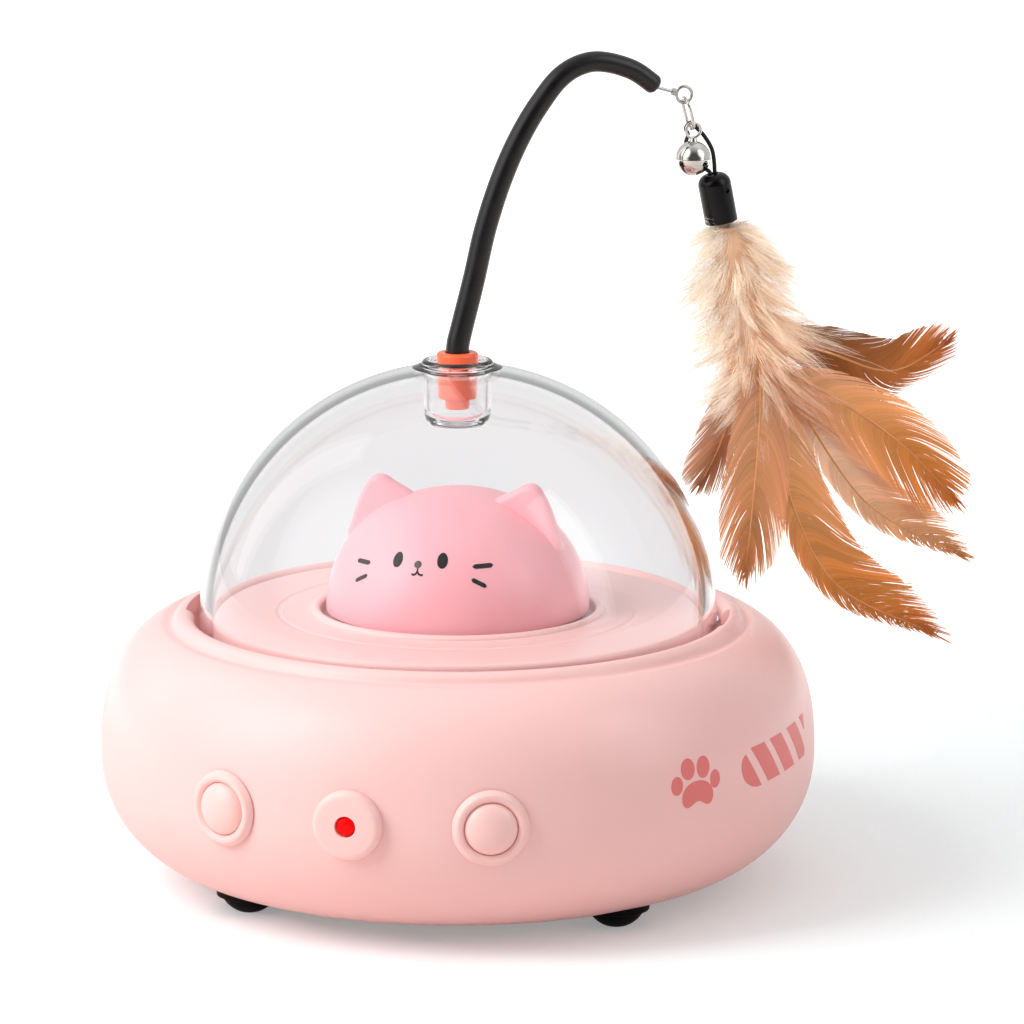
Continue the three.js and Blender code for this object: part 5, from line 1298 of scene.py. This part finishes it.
def strands_piece(name, strands, material):
    """Flat tapering ribbons as one mesh. Each strand is its points, half widths, side and tint."""
    corners, faces, tints = [], [], []
    for points, halves, way, tint in strands:
        first = len(corners)
        last = len(points) - 1
        for k, (point, half) in enumerate(zip(points, halves)):
            corners += [(point - way * half) * MM, (point + way * half) * MM]
            # The first tint number is the share along the strand, which the fibre turns into painted shade
            # at the root.
            tints += [(k / last, *tint)] * 2
        for k in range(last):
            low = first + 2 * k
            faces.append((low, low + 1, low + 3, low + 2))
    data = bpy.data.meshes.new(name)
    data.from_pydata(corners, [], faces)
    paint = data.attributes.new("tint", "FLOAT_COLOR", "POINT")
    paint.data.foreach_set("color", [value for along, a, b in tints for value in (along, a, b, 1.0)])
    data.shade_smooth()
    data.materials.append(material)
    return in_scene(name, data)


def barb_fibre(name, stops, light, dark, translucency):
    """Feather fibre. Its colour follows a ramp by the tint's second number, and each barb's own
    shade by the third. By the first, each barb gets painted shade at its root and a lighter tip."""
    material, tree, shader = bare_material(name)
    tint = added(tree, "Attribute", {}, attribute_name="tint")
    parts = added(tree, "SeparateColor", {"Color": tint.outputs["Color"]}).outputs
    ramp = added(tree, "ValToRGB", {"Fac": parts["Green"]})
    while len(ramp.color_ramp.elements) < len(stops):
        ramp.color_ramp.elements.new(0.5)
    for element, (place, colour) in zip(ramp.color_ramp.elements, stops):
        element.position = place
        element.color = srgb(*colour)
    shade = spread(tree, parts["Blue"], dark, light, 0, 1)
    root_shade_gradient = spread(tree, parts["Red"], painted_root_shade, painted_tip_light, 0, 1)
    strength = worked(tree, "MULTIPLY", shade, root_shade_gradient)
    tone = added(tree, "VectorMath", {0: ramp.outputs["Color"], "Scale": strength}, operation="SCALE")
    fibre = tone.outputs["Vector"]
    fill(tree, shader, {"Base Color": fibre, "Roughness": 0.6, "Specular IOR Level": 0.3})
    glow = added(tree, "BsdfTranslucent", {"Color": fibre}).outputs["BSDF"]
    mix = added(tree, "MixShader", {"Fac": translucency, 1: shader.outputs["BSDF"], 2: glow})
    fill(tree, tree.nodes["Material Output"], {"Surface": mix.outputs["Shader"]})
    return material


down_stops = [
    (0.0, (255, 250, 240)), (0.3, (255, 238, 218)), (0.55, (252, 218, 188)),
    (0.78, (214, 160, 122)), (1.0, (138, 90, 58)),
]
down_fibre = barb_fibre("down fibre", down_stops, 1.26, 0.8, 0.55)
chance = random.Random(7)
tuft_count, hair_count, down_joints, hair_half, hair_taper = 370, 26, 8, 0.075, 0.72
collar_tufts, collar_start, collar_sweep, collar_reach = 60, (0.0, 0.04), (-0.05, 0.12), (0.6, 1.08)
tuft_last, tuft_crowding, tuft_sweep, tuft_turn = 0.86, 0.95, (0.12, 0.27), 0.25
outer_share, outer_reach, inner_reach, root_reach = 0.68, (0.78, 1.12), (0.3, 0.8), 0.1
belly_reach, bend_size, tuft_looseness = (0.42, 0.68), 0.8, (0.3, 1.0)
stray_share, stray_looseness, hair_looseness = 0.14, 1.7, 0.95
hair_length, stray_length, hair_shift = (0.62, 1.04), (1.0, 1.2), 0.9
wave_size, wave_count, middle_looseness, end_looseness = (0.15, 0.5), 7, 0.6, 0.55
# Painted shade of the down: browner on its right side and among its inner strands. The low numbers make it
# darker towards the bottom.
first_brown, right_painted_shade, right_start, tint_scatter = 0.02, 0.32, 0.45, 0.07
low_darkening, low_right_painted_shade, inner_painted_shade, inner_edge = 0.2, 0.9, 0.6, 0.65
strands = []


def scattered(size):
    """A random step of about that many millimetres."""
    return Vector([chance.gauss(0, size) for _ in range(3)])


def down_tone_and_shade(share, turn, reach):
    """How far the down's colour has gone from cream to brown. Painted shade makes it browner to the
    right and inside, and it is also darker below.
    """
    right_side = 0.5 + 0.5 * math.cos(turn)
    below = max(share - 0.5, 0.0)
    inside = max(inner_edge - reach, 0.0)
    right_shade = right_painted_shade * right_side * min(share + right_start, 1)
    lower = below * (low_darkening + low_right_painted_shade * right_side)
    return first_brown + right_shade + lower + inner_painted_shade * inside


for tuft in range(tuft_count):
    turn = chance.uniform(0, 2 * math.pi)
    if tuft < collar_tufts:
        start, sweep = chance.uniform(*collar_start), chance.uniform(*collar_sweep)
        reach = chance.uniform(*collar_reach)
    else:
        start, sweep = tuft_last * chance.random() ** tuft_crowding, chance.uniform(*tuft_sweep)
        reach = chance.uniform(*(outer_reach if chance.random() < outer_share else inner_reach))
    end = start + sweep
    root = down_place(start, turn, root_reach)
    tip = down_place(end, turn + chance.uniform(-tuft_turn, tuft_turn), reach)
    belly = down_place(start + 0.5 * sweep, turn, reach * chance.uniform(*belly_reach))
    bend = scattered(bend_size)
    tuft_shade, loose_end = chance.random(), chance.uniform(*tuft_looseness)
    for hair in range(hair_count):
        stray = chance.random() < stray_share
        scatter = scattered(1)
        loose = stray_looseness if stray else hair_looseness
        length_share = chance.uniform(*hair_length) * (chance.uniform(*stray_length) if stray else 1.0)
        shift = (tip - root).normalized() * chance.uniform(-hair_shift, hair_shift)
        wave, phase = chance.uniform(*wave_size), chance.uniform(0, 6.3)
        ripple = scattered(1).normalized()
        points = []
        for k in range(down_joints):
            part = length_share * k / (down_joints - 1)
            place = (1 - part) ** 2 * root + 2 * part * (1 - part) * belly + part**2 * tip + shift * part
            astray = middle_looseness * math.sin(min(part, 1) * math.pi)
            place += scatter * loose * (astray + end_looseness * loose_end * part**2)
            place += bend * part**2 + ripple * wave * math.sin(phase + wave_count * part) * part
            points.append(place)
        way = (points[-1] - points[0]).cross(scattered(1)).normalized()
        halves = [hair_half * (1 - hair_taper * k / (down_joints - 1)) for k in range(down_joints)]
        # The tint carries painted shade as well as the down's colour.
        tint = down_tone_and_shade(start + sweep * 0.5, turn, reach) + chance.gauss(0, tint_scatter)
        barb_shade = 0.5 * tuft_shade + 0.5 * chance.random()
        strands.append((points, halves, way, (min(max(tint, 0), 1), barb_shade)))
down_barbs = strands_piece("down_barbs", strands, down_fibre)
core_rows, core_sides, core_start, core_run, core_size, core_end = 18, 40, 0.01, 0.95, 0.34, 0.1
core = bmesh.new()
rings = []
for i in range(core_rows + 1):
    share = core_start + core_run * i / core_rows
    size = core_size if i < core_rows else core_end
    rings.append([core.verts.new(down_place(share, turn, size)) for turn in full_turn(core_sides)])
skinned(core, rings)
core.faces.new(rings[0][::-1])
core.faces.new(rings[-1])
core_fluff = moulded_plastic("down core", (232, 192, 160), (196, 148, 114), 0.9, 0.0, 0.4)
down_core = as_piece("down_core", core, core_fluff)
fitted(down_core, "teaser", "down", "feather_fluff")
fitted(down_barbs, "teaser", "down", "feather_fluff")

# Feathers: six dyed cock feathers, held in the cap by their tapering quills. Two rows of barbs
# lie close as a vane on each, split in places and frayed at the edge.
teaser_spread, teaser_drop, feather_camber = 69.7, 106, 0.7
feather_width_shares = [0.3, 0.6, 0.82, 0.94, 1, 1, 0.98, 0.9, 0.74, 0.48, 0.1]
feather_list = [
    ("feather_1", [(0.212, 0.262), (0.429, 0.322), (0.673, 0.372), (0.9, 0.305)],
     15.5, (1, 1), (4.5, 8), "russet"),
    ("feather_2", [(0.241, 0.347), (0.395, 0.407), (0.65, 0.526), (0.86, 0.668)],
     18, (1, 1), (-1, -3), "amber"),
    ("feather_3", [(0.155, 0.328), (0.278, 0.419), (0.56, 0.67), (0.93, 0.81)],
     12.5, (0.62, 1.38), (1.8, 2.5), "pale"),
    ("feather_4", [(0.112, 0.319), (0.162, 0.422), (0.255, 0.667), (0.41, 0.837), (0.79, 0.972)],
     14.5, (0.55, 1.45), (-4, -4.5), "amber"),
    ("feather_5", [(0.105, 0.3), (0.11, 0.416), (0.09, 0.616), (0.062, 0.805)],
     17, (0.95, 1.05), (-7, -6), "tan"),
    ("feather_6", [(0.085, 0.32), (0.07, 0.43), (0.02, 0.53), (-0.045, 0.61)],
     13, (1, 1), (4.5, 6), "grey"),
]
feather_stops = {
    "russet": [
        (0.0, (118, 78, 52)), (0.35, (164, 102, 58)), (0.7, (206, 130, 70)), (1.0, (196, 112, 54)),
    ],
    "amber": [
        (0.0, (230, 186, 150)), (0.3, (236, 182, 124)), (0.65, (230, 156, 82)), (1.0, (204, 122, 52)),
    ],
    "tan": [
        (0.0, (230, 186, 152)), (0.35, (236, 184, 136)), (0.7, (226, 166, 112)), (1.0, (208, 142, 88)),
    ],
    "pale": [
        (0.0, (236, 198, 168)), (0.35, (252, 224, 198)), (0.7, (242, 196, 150)), (1.0, (216, 148, 88)),
    ],
    "grey": [
        (0.0, (230, 188, 158)), (0.4, (220, 174, 142)), (0.8, (206, 156, 120)), (1.0, (190, 138, 102)),
    ],
}
feather_fibres = {
    name: barb_fibre(name + " fibre", stops, 1.24, 0.8, 0.5) for name, stops in feather_stops.items()
}
quill_horn = moulded_plastic("quill horn", (220, 156, 98), (200, 132, 76), 0.35, 0.2)
barb_pitch, barb_joints, barb_lean, quill_root, quill_end = 0.26, 9, 2.0, 0.34, 0.07
quill_shown, quill_joints = 0.94, 40


def width_share(share):
    """The vane's width at a share of its length."""
    place = min(max(share, 0), 0.999) * (len(feather_width_shares) - 1)
    low = int(place)
    near, far = feather_width_shares[low:low + 2]
    return near + (far - near) * (place - low)


def feather_quill(shares, layer):
    """The quill's route, as evenly spaced places."""
    route = smooth_route([
        in_plane(
            cap_low_out + across * teaser_spread,
            layer[0] + (layer[1] - layer[0]) * i / (len(shares) - 1),
            cap_low - down * teaser_drop,
        )
        for i, (across, down) in enumerate(shares)
    ], 40)
    lengths = [0.0]
    for a, b in zip(route, route[1:]):
        lengths.append(lengths[-1] + (b - a).length)
    return route, lengths


def along_quill(route, lengths, share):
    """The place and the direction at a share of the quill's length."""
    target = min(max(share, 0.0), 1.0) * lengths[-1]
    i = min(next((k for k, far in enumerate(lengths) if far >= target), len(lengths) - 1), len(route) - 1)
    i = max(i, 1)
    part = (target - lengths[i - 1]) / max(lengths[i] - lengths[i - 1], 1e-9)
    place = route[i - 1].lerp(route[i], part)
    before, after = route[max(i - 4, 0)], route[min(i + 3, len(route) - 1)]
    return place, (after - before).normalized()


def past_end(route, lengths, share):
    """The same, and straight on past the quill's end."""
    place, along = along_quill(route, lengths, share)
    return place + along * max(share - 1.0, 0.0) * lengths[-1], along


vane_start, vane_end, vane_splits, split_range = 0.02, 0.988, 6, (0.08, 0.97)
fray_start, fray_reach, fray_range, fray_stray = 0.6, 0.4, (-0.22, 0.14), 0.25
lot_lift_range, lot_width, barb_width = (-0.4, 0.5), (0.97, 1.02), (0.96, 1.02)
barb_stray, stray_width, stray_bow, least_advance = 0.03, (0.85, 1.2), 0.3, 0.02
fray_shortening, gather_least, gather_more, barb_curve, vane_curve = 0.25, 0.02, 0.2, 1.5, 0.82
barb_root, barb_thinning, fray_thinning, thinning_curve = 0.72, 0.42, 0.24, 2.5
streak_change, streak_return, streak_shade = 0.16, 0.12, 0.45
lot_shade, least_shade, barb_scatter = 0.3, 0.13, 0.1
for number, (name, shares, width, sides, layer, kind) in enumerate(feather_list):
    chance = random.Random(31 + number)
    route, lengths = feather_quill(shares, layer)
    length = lengths[-1]
    barbs = []
    for side_sign, side_share in zip((-1, 1), sides):
        splits = sorted(chance.uniform(*split_range) for _ in range(vane_splits))
        share, streak = vane_start, 0.5
        while share < vane_end:
            lot = sum(split < share for split in splits)
            lot_low = splits[lot - 1] if lot else 0.0
            lot_high = splits[lot] if lot < len(splits) else 1.0
            lot_chance = random.Random(number * 100 + lot * 2 + side_sign)
            lot_tone, lot_lift = lot_chance.random(), lot_chance.uniform(*lot_lift_range)
            pull = lot_chance.random() ** 2
            reach = width / 2 * side_share
            advance = reach * barb_lean * width_share(share) / length
            fray = max(share - fray_start, 0.0) / (1 - fray_start)
            to_middle = (lot_low + lot_high) / 2 - share
            gathered = to_middle * (gather_least + gather_more * pull)
            end = share + advance * (1 - fray_shortening * fray) + gathered
            end = max(end, share + least_advance) + fray * fray_reach * chance.uniform(*fray_range)
            half = reach * width_share(min(share + advance * 0.5, 1.0)) * chance.uniform(*barb_width)
            half *= lot_chance.uniform(*lot_width) * (1 - 0.5 * fray * chance.random())
            stray = chance.random() < barb_stray + fray_stray * fray
            if stray:
                half *= chance.uniform(*stray_width)
            points = []
            for k in range(barb_joints):
                out = k / (barb_joints - 1)
                place, along = past_end(route, lengths, share + (end - share) * out**barb_curve)
                side_way = along.cross(behind_plane).normalized() * side_sign
                loose = chance.gauss(0, stray_bow) if stray else 0
                bow = feather_camber * out**2 + lot_lift * out**2 + loose * out
                points.append(place + side_way * half * out**vane_curve + behind_plane * bow)
            way = (points[1] - points[0]).cross(behind_plane).normalized()
            thinning = barb_thinning + fray_thinning * fray
            halves = [barb_pitch * (barb_root - thinning * (k / (barb_joints - 1)) ** thinning_curve)
                      for k in range(barb_joints)]
            streak += chance.gauss(0, streak_change) + streak_return * (0.5 - streak)
            streak = min(max(streak, 0), 1)
            tone = lot_shade * lot_tone + streak_shade * streak + least_shade
            tone = min(max(tone + chance.gauss(0, barb_scatter), 0), 1)
            barbs.append((points, halves, way, (min(share * 1.02, 1.0), tone)))
            share += barb_pitch / length
    vane = strands_piece(name + "_barbs", barbs, feather_fibres[kind])
    quill_shares = [quill_shown * k / quill_joints for k in range(quill_joints + 1)]
    quill_route = [along_quill(route, lengths, share)[0] for share in quill_shares]
    quill = tube(name + "_quill", quill_route, lambda share: quill_root * (1 - share) + quill_end,
                 quill_horn, 10)
    slot = "grey_feather" if kind == "grey" else "feather"
    fitted(vane, "teaser", slot, name)
    fitted(quill, "teaser", slot, name)

# Stage: a white floor and sky, soft lamps, and the camera where the photograph was taken from.
# Polished skins mirror a sky of their own, which is dim in front and has three lamps in it.
floor_height, floor_size = -3.5, 6000
camera_azimuth, camera_elevation, camera_distance = 16.5, 11.76, 1400
camera_lens, camera_sensor, camera_near, camera_far = 210.16, 36, 0.1, 20
target_right, target_height, seen_in_clear = 12.72, 83.68, 0.86
white = (1, 1, 1, 1)


def softened(tree, source, start, end, low, high):
    """Low before the start, high after the end, with a soft step between."""
    inputs = {"From Min": start, "From Max": end, "To Min": low, "To Max": high, "Value": source}
    return added(tree, "MapRange", inputs, interpolation_type="SMOOTHSTEP").outputs["Result"]


def outwards_from(tree, spot):
    """How far a spot is from the middle of its piece, in metres."""
    return added(tree, "VectorMath", {0: spot}, operation="LENGTH").outputs["Value"]


def away_from(azimuth, elevation):
    """The direction to a place round the toy, by its bearing and its height over the horizon."""
    turn, rise = math.radians(azimuth), math.radians(elevation)
    return Vector((math.sin(turn) * math.cos(rise), -math.cos(turn) * math.cos(rise), math.sin(rise)))


ambient, mirror_start, mirror_end, mirror_front, mirror_back = 0.45, -0.7, 0.4, 0.1, 0.8
mirrored_lamps = [(-47, 30, 40, 12, 2.2), (78, 30, 30, 10, 1.2), (0, 88, 55, 20, 0.3)]
world = bpy.data.worlds.new("studio")
bpy.context.scene.world = world
world.use_nodes = True
tree = world.node_tree
path = added(tree, "LightPath", {}).outputs
heading = added(tree, "TexCoord", {}).outputs["Generated"]
glossy = worked(tree, "SUBTRACT", path["Is Glossy Ray"], path["Is Transmission Ray"])
through_clear = worked(tree, "MULTIPLY", path["Is Transmission Ray"], seen_in_clear)
direct = worked(tree, "MAXIMUM", path["Is Camera Ray"], through_clear)
backwards = added(tree, "SeparateXYZ", {"Vector": heading}).outputs["Y"]
mirrored = softened(tree, backwards, mirror_start, mirror_end, mirror_front, mirror_back)
for azimuth, elevation, outer, inner, strength in mirrored_lamps:
    both = {0: heading, 1: away_from(azimuth, elevation)}
    nearness = added(tree, "VectorMath", both, operation="DOT_PRODUCT").outputs["Value"]
    edge, full = math.cos(math.radians(outer)), math.cos(math.radians(inner))
    mirrored = worked(tree, "ADD", mirrored, softened(tree, nearness, edge, full, 0.0, strength))
lighting = worked(tree, "MAXIMUM", direct, ambient)
with_gloss = added(tree, "Mix", {"Factor": glossy, "A": lighting, "B": mirrored}, data_type="FLOAT")
fill(tree, tree.nodes["Background"], {"Strength": with_gloss.outputs["Result"], "Color": white})

floor_near, floor_far, near_glow = 0.2, 0.42, 0.28
gloss_front, gloss_back, gloss_least = -0.3, 0.5, 0.2
floor_mesh = bmesh.new()
bmesh.ops.create_grid(floor_mesh, x_segments=2, y_segments=2, size=floor_size / 2)
floor_white, tree, floor_shader = bare_material("floor white")
path = added(tree, "LightPath", {}).outputs
spot = added(tree, "TexCoord", {}).outputs["Object"]
seen, in_clear = path["Is Camera Ray"], path["Is Transmission Ray"]
lighting_tone, seen_tone, clear_tone = (0.9, 0.8, 0.77, 1), (0.76, 0.8, 0.81, 1), (0.03, 0.03, 0.03, 1)
open_tones = {"A": lighting_tone, "B": seen_tone, "Factor": seen}
open_tone = added(tree, "Mix", open_tones, data_type="RGBA").outputs["Result"]
all_tones = {"A": open_tone, "B": clear_tone, "Factor": in_clear}
floor_tone = added(tree, "Mix", all_tones, data_type="RGBA").outputs["Result"]
farther = softened(tree, outwards_from(tree, spot), floor_near, floor_far, near_glow, 1.0)
in_gloss = worked(tree, "SUBTRACT", path["Is Glossy Ray"], in_clear)
backwards = added(tree, "SeparateXYZ", {"Vector": spot}).outputs["Y"]
gloss_level = softened(tree, backwards, gloss_front, gloss_back, gloss_least, 1.0)
in_gloss = worked(tree, "MULTIPLY", in_gloss, gloss_level)
open_glow = worked(tree, "MULTIPLY", worked(tree, "MAXIMUM", seen, in_gloss), farther)
clear_glow = worked(tree, "MULTIPLY", in_clear, seen_in_clear)
fill(tree, floor_shader, {
    "Base Color": floor_tone,
    "Roughness": 0.9,
    "Specular IOR Level": 0.0,
    "Emission Color": white,
    "Emission Strength": worked(tree, "MAXIMUM", open_glow, clear_glow),
})
floor = as_piece("floor", floor_mesh, floor_white)
floor.location.z = floor_height * MM


def soft_lamp(name, azimuth, elevation, distance, width, tall, power, mirrored=False,
              aim=(0, 0, 60), opening=180):
    """A rectangular lamp round the toy, in millimetres and watts, pointed at the aim."""
    lamp = bpy.data.lights.new(name, "AREA")
    lamp.shape = "RECTANGLE"
    lamp.size, lamp.size_y = width * MM, tall * MM
    lamp.energy = power
    lamp.spread = math.radians(opening)
    holder = in_scene(name, lamp)
    holder.visible_glossy = holder.visible_transmission = mirrored
    away = away_from(azimuth, elevation)
    holder.location = (Vector(aim) + away * distance) * MM
    holder.rotation_mode = "QUATERNION"
    holder.rotation_quaternion = away.to_track_quat("Z", "Y")


soft_lamp("key", -48, 36, 900, 420, 600, 6.6)
soft_lamp("top", 10, 82, 800, 700, 500, 0.9)
soft_lamp("side", 82, 30, 900, 260, 900, 0.9, True)
soft_lamp("left strip", -104, 30, 900, 240, 900, 0.4, True)
soft_lamp("teaser", 34, 26, 1000, 60, 60, 0.024, False, (92, 60, 118), 13)

# A grey card with a round window stands behind the dome. Only clear plastic shows it, as the grey
# lines where the dome's wall bends the view.
card_window, card_outer, card_back, card_sides = 66, 420, 220, 96
card_inner, card_band, card_fade = (0.066, 0.12), (0.13, 0.18), (0.195, 0.25)
inner_glow, band_dark, fade_dark = 0.84, 0.54, 0.5
card_mesh = bmesh.new()
skinned(card_mesh, [
    [card_mesh.verts.new((radius * math.cos(t), radius * math.sin(t), 0)) for t in full_turn(card_sides)]
    for radius in (card_window, card_outer)
])
card_grey, tree, card_shader = bare_material("card grey")
outwards = outwards_from(tree, added(tree, "TexCoord", {}).outputs["Object"])
card_glow = softened(tree, outwards, *card_inner, seen_in_clear, inner_glow)
band_depth = softened(tree, outwards, *card_band, 0.0, band_dark)
card_depth = worked(tree, "SUBTRACT", band_depth, softened(tree, outwards, *card_fade, 0.0, fade_dark))
fill(tree, card_shader, {
    "Base Color": (0, 0, 0, 1),
    "Specular IOR Level": 0.0,
    "Emission Color": white,
    "Emission Strength": worked(tree, "SUBTRACT", card_glow, card_depth),
})
card = as_piece("card", card_mesh, card_grey)

camera = in_scene("camera", bpy.data.cameras.new("camera"))
camera.data.lens, camera.data.sensor_width = camera_lens, camera_sensor
camera.data.clip_start, camera.data.clip_end = camera_near, camera_far
sideways = math.radians(camera_azimuth)
right = Vector((math.cos(sideways), math.sin(sideways), 0))
back = away_from(camera_azimuth, camera_elevation)
facing = back.to_track_quat("Z", "Y")
aim = right * target_right + Vector((0, 0, target_height))
card.location = (Vector((0, 0, dome_centre)) - back * card_back) * MM
camera.location = (aim + back * camera_distance) * MM
for staged in (card, camera):
    staged.rotation_mode = "QUATERNION"
    staged.rotation_quaternion = facing
card.visible_camera = card.visible_diffuse = card.visible_glossy = card.visible_shadow = False
bpy.context.scene.camera = camera
bpy.context.scene.view_settings.view_transform = "Standard"
